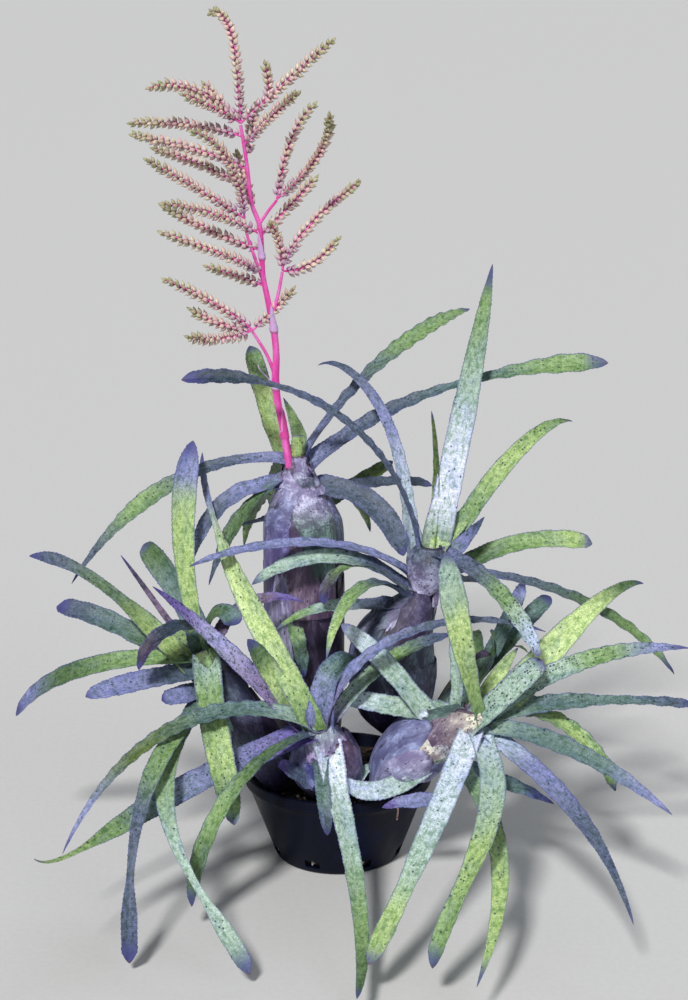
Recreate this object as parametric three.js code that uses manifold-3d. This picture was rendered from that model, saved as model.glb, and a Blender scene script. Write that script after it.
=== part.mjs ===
// Potted Hohenbergia pennae: a flowering clump of tank bromeliads in a shallow nursery pot.
// Millimetres and degrees, +Z up. The origin is the centre of the pot's foot and the front is -Y.
// A compass direction is counted from +X towards +Y, so 0 is right, 90 back, 180 left, 270 front.

import * as THREE from 'three';
import { mergeVertices } from 'three/addons/utils/BufferGeometryUtils.js';
import Module from 'manifold-3d';

const wasm = await Module();
wasm.setup();

// Clearance left between pieces that touch
const GAP = 0.3;

// The pot is an eight inch bulb pan, and its rim sets the scale of the whole plant
const POT = {
  rimRadius: 100,
  footRadius: 68,
  height: 95,
  wall: 2.6,
  bandHeight: 13,
  bandDepth: 3.5,
  footRound: 4,
  sides: 30,
  edge: 1,
  slots: 8,
  slotWidth: 13,
  slotHeight: 9,
};
const SOIL_TOP = 84;

// Strap blades: thickness at root and tip, depth of the channel as a share of the width, and the
// length and least number of segments
const BLADE = { rootThickness: 2.6, tipThickness: 1.3, channel: 0.15, segment: 32, fewest: 4 };

// Outlines of the blades: widths as shares of the full width, at these shares of the length
const OUTLINE_SHARES = [0, 0.18, 0.38, 0.58, 0.75, 0.88, 0.96, 1];
const OUTLINES = {
  strap: [0.85, 1, 1, 1, 0.95, 0.78, 0.45, 0],
  taper: [0.85, 1, 1, 0.9, 0.68, 0.42, 0.18, 0],
  drawn: [0.9, 1, 0.92, 0.68, 0.42, 0.24, 0.12, 0],
  blunt: [0.8, 0.9, 1, 1, 1, 0.95, 0.72, 0],
  club: [0.5, 0.6, 0.78, 0.94, 1, 0.88, 0.48, 0],
  spoon: [0.95, 0.9, 0.72, 0.42, 0.75, 1, 0.66, 0],
  paddle: [0.9, 0.62, 0.58, 0.58, 0.36, 0.9, 0.8, 0],
  necked: [0.85, 1, 1, 0.75, 0.3, 0.42, 0.34, 0],
  waisted: [0.8, 1, 0.95, 0.5, 0.5, 0.58, 0.3, 0],
  spindle: [0.6, 0.6, 0.8, 1, 0.6, 0.32, 0.15, 0],
  whip: [1, 0.88, 0.72, 0.6, 0.48, 0.34, 0.2, 0],
  lance: [0.5, 0.6, 0.78, 0.94, 0.9, 0.5, 0.28, 0],
  slack: [0.85, 1, 1, 0.86, 0.68, 0.74, 0.6, 0],
  tongue: [0.9, 1, 1, 0.72, 0.2, 0.14, 0.1, 0],
  ladle: [1, 1, 1, 0.6, 0.36, 0.8, 0.8, 0],
};

// Radial distance from the middle of a crown at which its blades spring
const BLADE_SPRING = 6;

const TANK_SIDES = 10;

// Rings of a tank lower than this lie level, which keeps them clear of the mix and the rim
const LEVEL_BELOW = 110;

// Sheaths: rings along each, height over the tank, the depths of the edges and of the core as
// shares of the tank's radius, and the part of a half wave that its width follows
const SHEATH = { steps: 4, lift: 3, sink: 0.9, core: 0.35, waveFrom: 0.2, waveTo: 0.93 };

// Flower spikes: a bare stalk, then two ranks of flowers set alternately left and right
const SPIKE = {
  stalkRadius: 1.3,
  stalkLength: 9,
  flowerReach: 7,
  flowerDepth: 3.8,
  waist: 2.6,
  pitch: 5.9,
  sweep: 2.5,
  shrinkOver: 4,
  smallest: 0.35,
};

// Each rosette has a tank, given as rings [x, y, z, radius] from the stem base upwards, the middle
// and the axis of its crown, sheaths [compass, from, to, spread] on the tank, and blades
// [compass, turn, rise, fall, bow, length, width, lean, twist, outline, below]:
//   compass, turn   direction in which the blade leaves, and its change of direction to the tip
//   rise, fall      slope at the root and at the tip
//   bow             how late the slope changes, 1 is evenly
//   lean, twist     roll of the blade's face at the root, and what is added to it at the tip
//   outline         which of the outlines above its width follows
//   below           distance of the root beneath the mouth of the crown
const ROSETTES = [
  {
    name: 'rosette_a',
    color: 0x6f7d93,
    tank: [
      [-38, 45, 64, 15], [-38, 45, 84.5, 15], [-38, 45, 84.6, 27], [-37, 45, 104, 36], [-36, 46, 160, 40],
      [-36, 49, 260, 41], [-37, 53, 340, 40], [-39, 56, 364, 35], [-41, 58, 384, 25], [-43, 60, 402, 17],
      [-43, 60, 424, 11],
    ],
    crown: [-43, 60, 425],
    axis: [0, 0, 1],
    sheaths: [[235, 0.66, 0.84, 52], [310, 0.62, 0.86, 58], [20, 0.5, 0.7, 50], [130, 0.45, 0.68, 50]],
    blades: [
      [179, 27, 30, -54, 0.5, 280, 22, -35, 0, 'spindle', 12],
      [18, 47, 66, -5, 0.8, 310, 22, 5, 20, 'lance', 11],
      [9, -18, 70, 3, 0.4, 355, 24, 25, 20, 'spoon', 31],
      [130, 0, 53, 71, 1.1, 155, 25, 0, 0, 'blunt', 33],
      [80, 45, 14, 47, 1.4, 105, 16, 0, 0, 'taper', 10],
      [290, 0, 88, 88, 1, 42, 16, 0, 0, 'blunt', 20],
      [350, -30, 89, -70, 0.5, 150, 26, 30, 10, 'strap', 59],
      [188, 35, 65, -74, 0.5, 155, 22, -20, -10, 'taper', 46],
      [205, 10, -1, -69, 0.5, 150, 20, -15, 0, 'spindle', 24],
      [194, 25, 2, -5, 0.8, 70, 12, -10, 0, 'whip', 70],
      [25, -10, 11, -14, 1.5, 150, 20, 15, 0, 'blunt', 53],
      [40, -15, 11, 28, 0.8, 125, 20, 20, 10, 'strap', 70],
      [95, 10, 20, -65, 1, 230, 24, 0, 0, 'strap', 40],
      [55, 10, 15, -62, 1, 175, 22, 0, 0, 'taper', 62],
      [112, 0, 15, -70, 1, 205, 22, 0, 0, 'taper', 66],
      [255, 59, 39, -79, 0.4, 110, 17, 0, 0, 'strap', 150],
    ],
  },
  {
    name: 'rosette_b',
    color: 0x7f8f7c,
    tank: [
      [66, 27, 64, 9], [66, 27, 118, 9], [64, 24, 134, 22], [60, 20, 158, 38], [58, 18, 190, 45],
      [60, 18, 222, 44], [70, 18, 250, 33], [84, 19, 272, 20], [91, 20, 288, 15], [95, 20, 304, 21],
      [97, 20, 322, 22], [98, 20, 336, 12],
    ],
    crown: [97, 20, 332],
    axis: [0.19, -0.05, 0.98],
    sheaths: [[285, 0.78, 0.98, 60], [200, 0.5, 0.72, 50], [330, 0.42, 0.66, 50]],
    blades: [
      [165, -35, 85, -27, 3, 305, 20, -40, 0, 'whip', 49],
      [66, -22, 74, 105, 1.1, 160, 12, -10, 30, 'whip', 12],
      [20, 0, 75, 25, 1, 62, 27, 35, 0, 'strap', 15],
      [30, 0, 76, 79, 1.2, 330, 27, 50, 0, 'taper', 28],
      [8, 45, 57, -20, 2.6, 255, 20, 40, 0, 'taper', 29],
      [348, -9, 46, 58, 1.7, 90, 18, 60, 0, 'taper', 30],
      [5, -5, 35, -14, 1.4, 185, 21, 40, 0, 'blunt', 44],
      [350, 10, 0, -53, 1.3, 290, 18, 22, 0, 'club', 22],
      [315, 0, 36, -56, 0.5, 175, 21, 15, 0, 'strap', 10],
      [195, -6, 82, -19, 0.4, 260, 16, -15, 0, 'strap', 44],
      [202, -18, 77, -38, 0.8, 205, 20, -30, 0, 'strap', 68],
      [222, 25, 63, -69, 1, 195, 18, -10, 0, 'taper', 70],
      [205, 5, 15, -31, 2.3, 165, 18, -20, 0, 'taper', 70],
      [187, -9, 93, -10, 1, 375, 20, -15, -30, 'paddle', 35],
      [85, 5, 5, -50, 1, 205, 22, 0, 0, 'strap', 40],
      [45, 0, 10, -50, 1, 175, 22, 0, 0, 'taper', 52],
      [187, 53, 42, -89, 2.4, 145, 14, 0, 0, 'blunt', 55],
    ],
  },
  {
    name: 'rosette_c',
    color: 0x9aa98a,
    tank: [
      [54, -40, 64, 10], [54, -40, 84.5, 10], [54, -41, 86, 17], [60, -46, 104, 27], [72, -52, 128, 33],
      [90, -58, 148, 33], [112, -64, 161, 27], [132, -68, 173, 19], [150, -70, 184, 11],
    ],
    crown: [155, -71, 181],
    axis: [0.72, -0.08, 0.69],
    sheaths: [[250, 0.34, 0.62, 55], [190, 0.3, 0.6, 50], [300, 0.5, 0.8, 60], [120, 0.4, 0.7, 50]],
    blades: [
      [252, -76, 56, 84, 0.5, 205, 26, -110, 10, 'club', 11],
      [105, -13, 96, -13, 3.2, 145, 18, -50, 0, 'club', 43],
      [15, 35, 44, -22, 3, 250, 33, 50, 0, 'drawn', 10],
      [40, -5, 64, 39, 0.9, 105, 19, 50, 0, 'taper', 34],
      [325, 50, 65, 41, 0.5, 130, 24, 60, 0, 'blunt', 47],
      [10, -6, 48, -5, 0.8, 230, 22, 35, 0, 'taper', 10],
      [354, 16, 41, -11, 0.4, 225, 22, 30, 0, 'waisted', 10],
      [330, 0, 25, -31, 0.5, 225, 20, 35, 0, 'taper', 21],
      [314, -28, -14, -40, 2.3, 290, 24, 10, 0, 'drawn', 19],
      [7, -43, 57, -65, 0.5, 170, 20, 20, 0, 'strap', 11],
      [287, -62, -11, -74, 3.5, 325, 25, 0, 0, 'slack', 22],
      [298, -52, -13, -28, 2.1, 335, 19, 0, 0, 'taper', 60],
      [254, -14, -3, -33, 0.4, 315, 25, -10, 0, 'slack', 19],
      [335, 35, -16, -32, 2.2, 125, 18, 40, 0, 'taper', 70],
      [174, -10, 10, 2, 1.6, 145, 23, -40, 0, 'strap', 13],
      [204, -6, -35, 58, 1.9, 120, 20, -50, 0, 'strap', 67],
      [60, 0, 30, -50, 1, 175, 22, 0, 0, 'strap', 30],
      [176, -26, 64, 28, 1.2, 170, 21, -50, 0, 'strap', 55],
    ],
  },
  {
    name: 'rosette_d',
    color: 0x93a883,
    tank: [
      [-10, -50, 64, 10], [-10, -50, 84.5, 10], [-10, -50, 86, 20], [-11, -54, 104, 32], [-13, -58, 126, 36],
      [-15, -66, 148, 28], [-17, -74, 162, 18], [-19, -82, 176, 11],
    ],
    crown: [-19, -84, 176],
    axis: [-0.13, -0.39, 0.91],
    sheaths: [[320, 0.35, 0.8, 60], [215, 0.35, 0.78, 55], [60, 0.4, 0.8, 55]],
    blades: [
      [165, -70, 73, 38, 0.5, 335, 25, -60, 0, 'necked', 10],
      [190, -5, 64, 58, 1.4, 155, 24, -60, 0, 'strap', 51],
      [60, -25, 100, -83, 1.9, 115, 25, 20, 0, 'strap', 10],
      [9, -6, 101, -21, 0.6, 285, 18, 30, 0, 'whip', 10],
      [35, -14, 54, 4, 1, 175, 18, 20, 0, 'strap', 13],
      [192, 69, -14, 37, 3.3, 400, 27, -35, 0, 'tongue', 12],
      [290, -27, -48, 5, 0.9, 355, 26, 0, 0, 'whip', 24],
      [225, -5, 20, -85, 0.8, 245, 20, -10, 0, 'club', 14],
      [188, 37, 53, -57, 0.6, 325, 22, -25, 0, 'drawn', 11],
      [261, 31, -10, -83, 1.5, 100, 14, 5, 0, 'strap', 39],
      [215, -14, -11, 55, 1.2, 58, 22, -35, 0, 'taper', 61],
      [180, 9, 48, 42, 3.4, 240, 24, -40, 0, 'taper', 27],
      [85, 0, 40, -60, 1, 90, 20, 0, 0, 'strap', 25],
    ],
  },
  {
    name: 'rosette_e',
    color: 0x76877c,
    tank: [
      [-66, -28, 64, 9], [-66, -28, 84.5, 9], [-66, -29, 86, 14], [-70, -31, 104, 20], [-84, -34, 130, 28],
      [-100, -35, 160, 27], [-117, -35, 195, 22], [-130, -35, 220, 18], [-140, -35, 242, 11],
    ],
    crown: [-141, -35, 243],
    axis: [-0.42, 0.06, 0.91],
    sheaths: [[240, 0.5, 0.82, 55], [330, 0.55, 0.88, 55], [120, 0.45, 0.8, 55]],
    blades: [
      [145, -88, 81, 65, 0.4, 225, 25, -60, 95, 'club', 10],
      [182, -30, 47, -12, 3.2, 260, 23, -50, 0, 'waisted', 59],
      [175, -20, 30, -3, 2.4, 185, 22, -35, 0, 'blunt', 38],
      [194, -58, 17, -52, 0.9, 245, 22, -15, -50, 'strap', 19],
      [205, 5, 2, -7, 1.1, 135, 23, -35, 0, 'strap', 27],
      [215, 0, -3, 2, 1.2, 65, 22, -35, 0, 'strap', 46],
      [276, 19, -35, -55, 0.9, 185, 28, 5, 0, 'strap', 11],
      [150, -15, 100, 30, 0.5, 150, 25, -60, 0, 'blunt', 24],
      [160, 4, 54, 52, 0.6, 180, 11, -45, 0, 'whip', 59],
      [211, 6, 116, -75, 1.1, 175, 20, -15, 0, 'strap', 54],
      [160, -5, 82, 26, 0.6, 65, 24, -50, 0, 'blunt', 33],
      [15, -60, 100, -100, 2.6, 75, 24, 20, 0, 'blunt', 10],
      [235, 41, -4, -83, 1.5, 340, 20, -10, 0, 'ladle', 58],
      [228, 110, -22, -62, 3.4, 370, 20, -10, 45, 'ladle', 48],
      [17, -22, 88, -23, 1, 130, 15, 45, 0, 'taper', 15],
      [120, 0, 30, -50, 1, 175, 22, 0, 0, 'strap', 40],
    ],
  },
  {
    name: 'rosette_f',
    color: 0x5f7f78,
    tank: [
      [74, 5, 64, 7], [74, 5, 87, 7], [79, 8, 100, 8], [98, 15, 124, 13], [120, 24, 155, 15],
      [140, 31, 185, 14], [157, 35, 206, 10], [161, 35, 213, 5],
    ],
    crown: [163, 35, 214],
    axis: [0.5, 0, 0.86],
    sheaths: [[270, 0.5, 0.85, 60]],
    blades: [
      [23, 36, 71, 49, 0.5, 90, 16, 45, 0, 'strap', 11],
      [30, 5, 41, 31, 1.7, 120, 19, 30, 0, 'blunt', 35],
      [183, 24, 149, 53, 1.6, 55, 20, -30, 0, 'strap', 27],
      [90, 0, 40, -40, 1, 110, 14, 0, 0, 'taper', 25],
      [55, 0, 30, -40, 1, 110, 14, 0, 0, 'taper', 30],
    ],
  },
];

// Flower stem and its side axes, as rings [x, y, z, radius]
const SCAPE = {
  main: [
    [-48, 53, 386, 4], [-52, 53, 420, 4.2], [-57, 55, 452, 4], [-63, 58, 482, 3.9], [-65, 60, 505, 4.1],
    [-64, 60, 530, 3.6], [-66, 60, 556, 3.6], [-69, 60, 572, 3.4], [-73, 60, 593, 3], [-77, 60, 614, 2.9],
    [-78, 60, 636, 2.9], [-80, 60, 666, 2.6], [-88, 60, 690, 2.2], [-92, 60, 727, 1.9], [-98, 60, 768, 1.7],
  ],
  lowLeft: [[-65, 60, 508, 2.2], [-74, 58, 532, 1.8], [-88, 56, 556, 1.5]],
  lowRight: [[-68, 60, 570, 2], [-61, 60, 597, 1.8], [-57, 60, 618, 1.5]],
  upLeft: [[-78, 60, 612, 1.8], [-86, 58, 636, 1.6], [-92, 57, 654, 1.5], [-95, 56, 672, 1.4]],
  upRight: [[-80, 60, 668, 1.7], [-70, 60, 682, 1.5], [-62, 60, 692, 1.4]],
  sides: 8,
};

// Sprays of flower spikes. Each spike is [start x, y, z, compass, turn, rise, fall, bow, length].
// The spikes of one spray spring from one knot, or from each other.
const SPRAYS = {
  spray_top: [
    [-98, 60, 770, 101, 25, 82, -22, 2.7, 150],
    [-98, 60, 770, 190, 5, 48, -15, 1.4, 110],
    [-98, 60, 770, 205, 0, 40, 20, 0.5, 75],
    [-98, 60, 770, 355, 0, 42, 41, 1.2, 130],
    [-70, 58, 793, 30, 20, 76, 105, 0.5, 42],
    [-116, 57, 788, 150, 0, 48, 40, 1, 35],
  ],
  spray_up_right: [
    [-62, 60, 693, 41, -34, 77, 44, 2.1, 110],
    [-62, 60, 693, 344, -76, 39, 45, 0.4, 140],
  ],
  spray_low_right: [
    [-57, 60, 620, 0, 60, 80, 16, 0.6, 140],
    [-57, 60, 620, 28, 1, -40, 47, 0.4, 80],
    [-57, 60, 620, 20, 30, 80, 122, 0.6, 58],
  ],
  spray_up_left: [
    [-95, 56, 674, 266, -79, 66, 14, 3, 125],
    [-95, 56, 674, 191, 16, 35, 29, 1.1, 125],
  ],
  spray_low_left: [
    [-88, 56, 558, 185, 0, 46, 24, 0.5, 110],
    [-88, 56, 558, 180, -21, -5, 27, 0.5, 75],
    [-88, 56, 558, 215, 0, -18, 18, 0.8, 85],
    [-88, 56, 558, 10, 0, 38, 50, 0.8, 65],
  ],
  spike_left_1: [[-96, 60, 756, 165, 5, 24, -4, 0.5, 125]],
  spike_left_2: [[-92, 60, 723, 190, -45, 35, 4, 0.5, 135]],
  spike_left_3: [[-90, 60, 703, 153, 8, 29, 12, 0.6, 120]],
  spike_left_4: [[-80, 60, 657, 200, 5, 40, 10, 0.5, 115]],
  spike_left_5: [[-78, 60, 640, 181, -25, 20, 25, 1.1, 120]],
  spike_left_6: [[-77, 60, 616, 224, -61, 39, 17, 0.4, 125]],
  spike_left_7: [[-75, 60, 603, 170, -5, 24, 13, 0.5, 70]],
  spike_right_1: [[-95, 60, 748, 335, -20, 44, 27, 2.5, 95]],
  spike_right_2: [[-79, 60, 655, 25, 5, 40, 43, 1.1, 90]],
  spike_back_1: [[-93, 60, 735, 80, 0, 50, 40, 1, 75]],
  spike_back_2: [[-86, 60, 684, 110, 0, 40, 45, 1, 80]],
};
const KNOT_RADIUS = 2.6;

// Papery bracts at the nodes of the flower stem: [height, compass, rise, length, width]
const BRACTS = {
  bract_low: [497, 205, 62, 32, 10],
  bract_middle: [558, 290, 84, 30, 10],
  bract_high: [634, 255, 84, 30, 9],
  bract_foot: [446, 300, 84, 34, 11],
};
const BRACT_THICKNESS = 1.2;

// A pale aerial root that lies over the rim, as the points of its middle line
const LOOSE_ROOT = {
  radius: 1.2,
  route: [[44, -72, 86.5], [50, -77, 93], [54, -82, 98.5], [59, -86, 97], [62, -90, 86], [61, -91, 74]],
  steps: 8,
  arcs: 3,
};

const COLORS = {
  pot: 0x14161c, mix: 0x1d1712, root: 0xb89a94, stem: 0xd8327e, bract: 0xb7a3c9, flower: 0xa99f82,
};

const radians = THREE.MathUtils.degToRad;

// Turns a closed geometry into a solid that can be cut and joined
function solidOf(geometry) {
  const bare = geometry.clone();
  bare.deleteAttribute('normal');
  bare.deleteAttribute('uv');
  const merged = mergeVertices(bare, 1e-4);
  return new wasm.Manifold(new wasm.Mesh({
    numProp: 3,
    vertProperties: Float32Array.from(merged.attributes.position.array),
    triVerts: Uint32Array.from(merged.index.array),
  }));
}

function geometryOf(solid) {
  const mesh = solid.getMesh();
  const geometry = new THREE.BufferGeometry();
  geometry.setAttribute('position', new THREE.BufferAttribute(mesh.vertProperties, 3));
  geometry.setIndex(new THREE.BufferAttribute(mesh.triVerts, 1));
  return geometry;
}

function fuse(solids) {
  return solids.reduce((whole, piece) => whole.add(piece));
}

// Skins rings that run counter-clockwise about the direction of travel. A last ring of one point
// closes to a tip, and other ends are closed by a fan from the ring's first point. The diagonals
// of neighbouring faces mirror each other, so both faces of a blade are split alike.
function loft(rings) {
  const count = rings[0].length;
  const points = rings.flat();
  const index = [];
  for (let side = 1; side < count - 1; side++) {
    index.push(0, side + 1, side);
  }
  for (let ring = 0; ring < rings.length - 1; ring++) {
    const here = ring * count;
    const next = here + count;
    const closing = rings[ring + 1].length === 1;
    for (let side = 0; side < count; side++) {
      const a = here + side;
      const b = here + (side + 1) % count;
      const c = next + (side + 1) % count;
      const d = next + side;
      if (closing) {
        index.push(a, b, next);
      } else if (side % 2 === 0) {
        index.push(a, b, c, a, c, d);
      } else {
        index.push(a, b, d, b, c, d);
      }
    }
  }
  if (rings.at(-1).length > 1) {
    const last = (rings.length - 1) * count;
    for (let side = 1; side < count - 1; side++) {
      index.push(last, last + side, last + side + 1);
    }
  }
  const geometry = new THREE.BufferGeometry().setFromPoints(points);
  geometry.setIndex(index);
  return solidOf(geometry);
}

// Centre, radius and cross axes of a stem given as rings [x, y, z, radius], at each ring
function stationsOf(stem) {
  const centres = stem.map(([x, y, z]) => new THREE.Vector3(x, y, z));
  return stem.map(([, , , radius], k) => {
    const before = centres[Math.max(0, k - 1)];
    const after = centres[Math.min(stem.length - 1, k + 1)];
    const lean = after.clone().sub(before).normalize();
    const along = centres[k].z < LEVEL_BELOW ? new THREE.Vector3(0, 0, 1) : lean;
    const right = new THREE.Vector3(1, 0, 0).addScaledVector(along, -along.x).normalize();
    const back = along.clone().cross(right);
    return { centre: centres[k], radius, right, back };
  });
}

function aroundStation(station, compass, radius) {
  const angle = radians(compass);
  return station.centre.clone()
    .addScaledVector(station.right, Math.cos(angle) * radius)
    .addScaledVector(station.back, Math.sin(angle) * radius);
}

function stem(rings, sides, swell = 0) {
  return loft(stationsOf(rings).map((station) => (
    Array.from({ length: sides }, (_, side) => (
      aroundStation(station, (360 * side) / sides, station.radius + swell)
    ))
  )));
}

// The station of a tank at a fraction of its list of rings
function stationAt(tank, fraction) {
  const stations = stationsOf(tank);
  const place = fraction * (stations.length - 1);
  const low = Math.min(stations.length - 2, Math.floor(place));
  const share = place - low;
  const [one, two] = [stations[low], stations[low + 1]];
  return {
    centre: one.centre.clone().lerp(two.centre, share),
    radius: THREE.MathUtils.lerp(one.radius, two.radius, share),
    right: one.right.clone().lerp(two.right, share).normalize(),
    back: one.back.clone().lerp(two.back, share).normalize(),
  };
}

// A leaf base that clasps the tank: broad low down, pointed at the top, its edges sunk in
function sheath(tank, [compass, from, to, spread]) {
  const rings = [];
  for (let k = 0; k <= SHEATH.steps; k++) {
    const share = k / SHEATH.steps;
    const station = stationAt(tank, THREE.MathUtils.lerp(from, to, share));
    const wave = THREE.MathUtils.lerp(SHEATH.waveFrom, SHEATH.waveTo, share);
    const half = spread * Math.sin(Math.PI * wave);
    const lift = SHEATH.lift * (k === 0 ? -1 : 1);
    const edge = station.radius * SHEATH.sink;
    const outer = station.radius + lift;
    rings.push([
      aroundStation(station, compass - half, edge),
      aroundStation(station, compass - half / 2, outer),
      aroundStation(station, compass, outer),
      aroundStation(station, compass + half / 2, outer),
      aroundStation(station, compass + half, edge),
      aroundStation(station, compass, station.radius * SHEATH.core),
    ]);
  }
  return loft(rings);
}

// Direction of travel, upper face and side of a blade or spike at a share of its length
function frameAt([compass, turn, rise, fall, bow], share, roll) {
  const heading = radians(compass + turn * share);
  const slope = radians(rise + (fall - rise) * share ** bow);
  const level = new THREE.Vector3(Math.cos(heading), Math.sin(heading), 0);
  const along = level.clone().multiplyScalar(Math.cos(slope)).setZ(Math.sin(slope));
  const plainUpper = level.clone().multiplyScalar(-Math.sin(slope)).setZ(Math.cos(slope));
  const plainSide = along.clone().cross(plainUpper);
  const upper = plainUpper.clone().multiplyScalar(Math.cos(radians(roll)))
    .addScaledVector(plainSide, Math.sin(radians(roll)));
  return { along, upper, side: along.clone().cross(upper) };
}

// Middle points of a curved blade or spike, evenly spaced
function midline(start, course, length, steps) {
  const points = [start.clone()];
  for (let k = 0; k < steps; k++) {
    const { along } = frameAt(course, (k + 0.5) / steps, 0);
    points.push(points[k].clone().addScaledVector(along, length / steps));
  }
  return points;
}

// Width of a blade, as a share of its full width
function outlineAt(share, outline) {
  const next = Math.max(1, OUTLINE_SHARES.findIndex((value) => value >= share));
  const before = OUTLINE_SHARES[next - 1];
  const way = (share - before) / (OUTLINE_SHARES[next] - before);
  return THREE.MathUtils.lerp(OUTLINES[outline][next - 1], OUTLINES[outline][next], way);
}

function blade(start, row, thickness = BLADE) {
  const [compass, turn, rise, fall, bow, length, width, lean, twist, outline] = row;
  const course = [compass, turn, rise, fall, bow];
  const steps = Math.max(BLADE.fewest, Math.round(length / BLADE.segment));
  const rings = midline(start, course, length, steps).map((centre, k) => {
    const share = k / steps;
    if (k === steps) {
      return [centre];
    }
    const { upper, side } = frameAt(course, share, lean + twist * share);
    const half = (width / 2) * outlineAt(share, outline);
    const thick = THREE.MathUtils.lerp(thickness.rootThickness, thickness.tipThickness, share);
    const edge = centre.clone().addScaledVector(upper, 2 * half * BLADE.channel);
    return [
      centre.clone().addScaledVector(upper, thick / 2),
      edge.clone().addScaledVector(side, half),
      centre.clone().addScaledVector(upper, -thick / 2),
      edge.clone().addScaledVector(side, -half),
    ];
  });
  return loft(rings);
}

// One spike: a bare stalk that turns into two ranks of flowers, swept towards the tip
function spike([x, y, z, compass, turn, rise, fall, bow, length]) {
  const course = [compass, turn, rise, fall, bow];
  const start = new THREE.Vector3(x, y, z);
  const steps = Math.round(length / SPIKE.pitch);
  const bare = Math.round(SPIKE.stalkLength / SPIKE.pitch);
  const rings = midline(start, course, length, steps).map((centre, k) => {
    if (k === steps) {
      return [centre];
    }
    const { along, upper, side } = frameAt(course, k / steps, 0);
    const stalk = k < bare;
    const shrink = THREE.MathUtils.clamp((steps - k) / SPIKE.shrinkOver, SPIKE.smallest, 1);
    const depth = stalk ? SPIKE.stalkRadius : SPIKE.flowerDepth * shrink;
    const reach = [0, 1].map((rank) => {
      if (stalk) {
        return SPIKE.stalkRadius;
      }
      return (k + rank) % 2 === 0 ? SPIKE.flowerReach * shrink : SPIKE.waist * shrink;
    });
    const swept = reach.map((value) => (value > SPIKE.waist ? SPIKE.sweep : 0));
    return [
      centre.clone().addScaledVector(upper, reach[0]).addScaledVector(along, swept[0]),
      centre.clone().addScaledVector(side, depth),
      centre.clone().addScaledVector(upper, -reach[1]).addScaledVector(along, swept[1]),
      centre.clone().addScaledVector(side, -depth),
    ];
  });
  return loft(rings);
}

function potSolid() {
  const { rimRadius, footRadius, height, wall, bandHeight, bandDepth, footRound, edge } = POT;
  const shoulder = height - bandHeight;
  const outline = [
    [0, 0], [footRadius - footRound, 0], [footRadius, footRound],
    [rimRadius - bandDepth, shoulder], [rimRadius, shoulder + edge], [rimRadius, height - edge],
    [rimRadius - edge, height], [rimRadius - wall - edge, height],
    [rimRadius - bandDepth - wall, shoulder], [footRadius - wall, footRound + wall],
    [0, footRound + wall],
  ];
  const lathe = new THREE.LatheGeometry(outline.map(([r, z]) => new THREE.Vector2(r, z)), POT.sides);
  lathe.rotateX(Math.PI / 2);
  let pot = solidOf(lathe);
  for (let k = 0; k < POT.slots; k++) {
    const slot = new THREE.BoxGeometry(3 * wall, POT.slotWidth, POT.slotHeight);
    slot.translate(footRadius, 0, footRound + wall + POT.slotHeight / 2);
    slot.rotateZ(radians((360 * (k + 0.5)) / POT.slots));
    pot = pot.subtract(solidOf(slot));
  }
  return pot;
}

// The mix fills the pot to its floor, with a plain hole for each rosette's stem base
function soilSolid() {
  const { rimRadius, footRadius, wall, height, bandHeight, bandDepth, footRound } = POT;
  const shoulder = height - bandHeight;
  const top = rimRadius - bandDepth - wall - GAP;
  const floor = footRound + wall + GAP;
  const outline = [
    [0, floor], [footRadius - wall - 2 * GAP, floor], [top, shoulder], [top, SOIL_TOP], [0, SOIL_TOP],
  ];
  const lathe = new THREE.LatheGeometry(outline.map(([r, z]) => new THREE.Vector2(r, z)), POT.sides);
  lathe.rotateX(Math.PI / 2);
  const holes = ROSETTES.map(({ tank }) => {
    const [[x, y, z, radius], [x2, y2, z2]] = tank;
    return stem([[x, y, z - GAP, radius + GAP], [x2, y2, z2 + GAP, radius + GAP]], TANK_SIDES);
  });
  return solidOf(lathe).subtract(fuse(holes));
}

function rosetteSolid({ tank, crown, axis, sheaths, blades }, cut) {
  const mouth = new THREE.Vector3(...crown);
  const up = new THREE.Vector3(...axis).normalize();
  const pieces = [stem(tank, TANK_SIDES)];
  for (const row of sheaths) {
    pieces.push(sheath(tank, row));
  }
  for (const row of blades) {
    const { along } = frameAt([row[0], 0, 0, 0, 1], 0, 0);
    const root = mouth.clone().addScaledVector(up, -row[10]).addScaledVector(along, BLADE_SPRING);
    pieces.push(blade(root, row));
  }
  const whole = fuse(pieces);
  return cut ? whole.subtract(cut) : whole;
}

function scapeSolid(swell = 0) {
  const { main, lowLeft, lowRight, upLeft, upRight, sides } = SCAPE;
  return fuse([main, lowLeft, lowRight, upLeft, upRight].map((rings) => stem(rings, sides, swell)));
}

function spraySolid(spikes, socket) {
  const [x, y, z] = spikes[0];
  const knot = new THREE.OctahedronGeometry(KNOT_RADIUS, 0).translate(x, y, z);
  const pieces = spikes.map(spike);
  if (spikes.length > 1) {
    pieces.push(solidOf(knot));
  }
  const parts = fuse(pieces).subtract(socket).decompose();
  parts.sort((one, two) => two.volume() - one.volume());
  return parts[0];
}

function bractSolid([height, compass, rise, length, width]) {
  const next = SCAPE.main.findIndex((ring) => ring[2] > height);
  const [low, high] = [SCAPE.main[next - 1], SCAPE.main[next]];
  const share = (height - low[2]) / (high[2] - low[2]);
  const [x, y, , radius] = low.map((value, k) => THREE.MathUtils.lerp(value, high[k], share));
  const { along } = frameAt([compass, 0, 0, 0, 1], 0, 0);
  const start = new THREE.Vector3(x, y, height)
    .addScaledVector(along, radius + 2 * GAP + BRACT_THICKNESS / 2);
  const row = [compass, 0, rise, rise, 1, length, width, 0, 0, 'taper'];
  return blade(start, row, { rootThickness: BRACT_THICKNESS, tipThickness: BRACT_THICKNESS });
}

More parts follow.
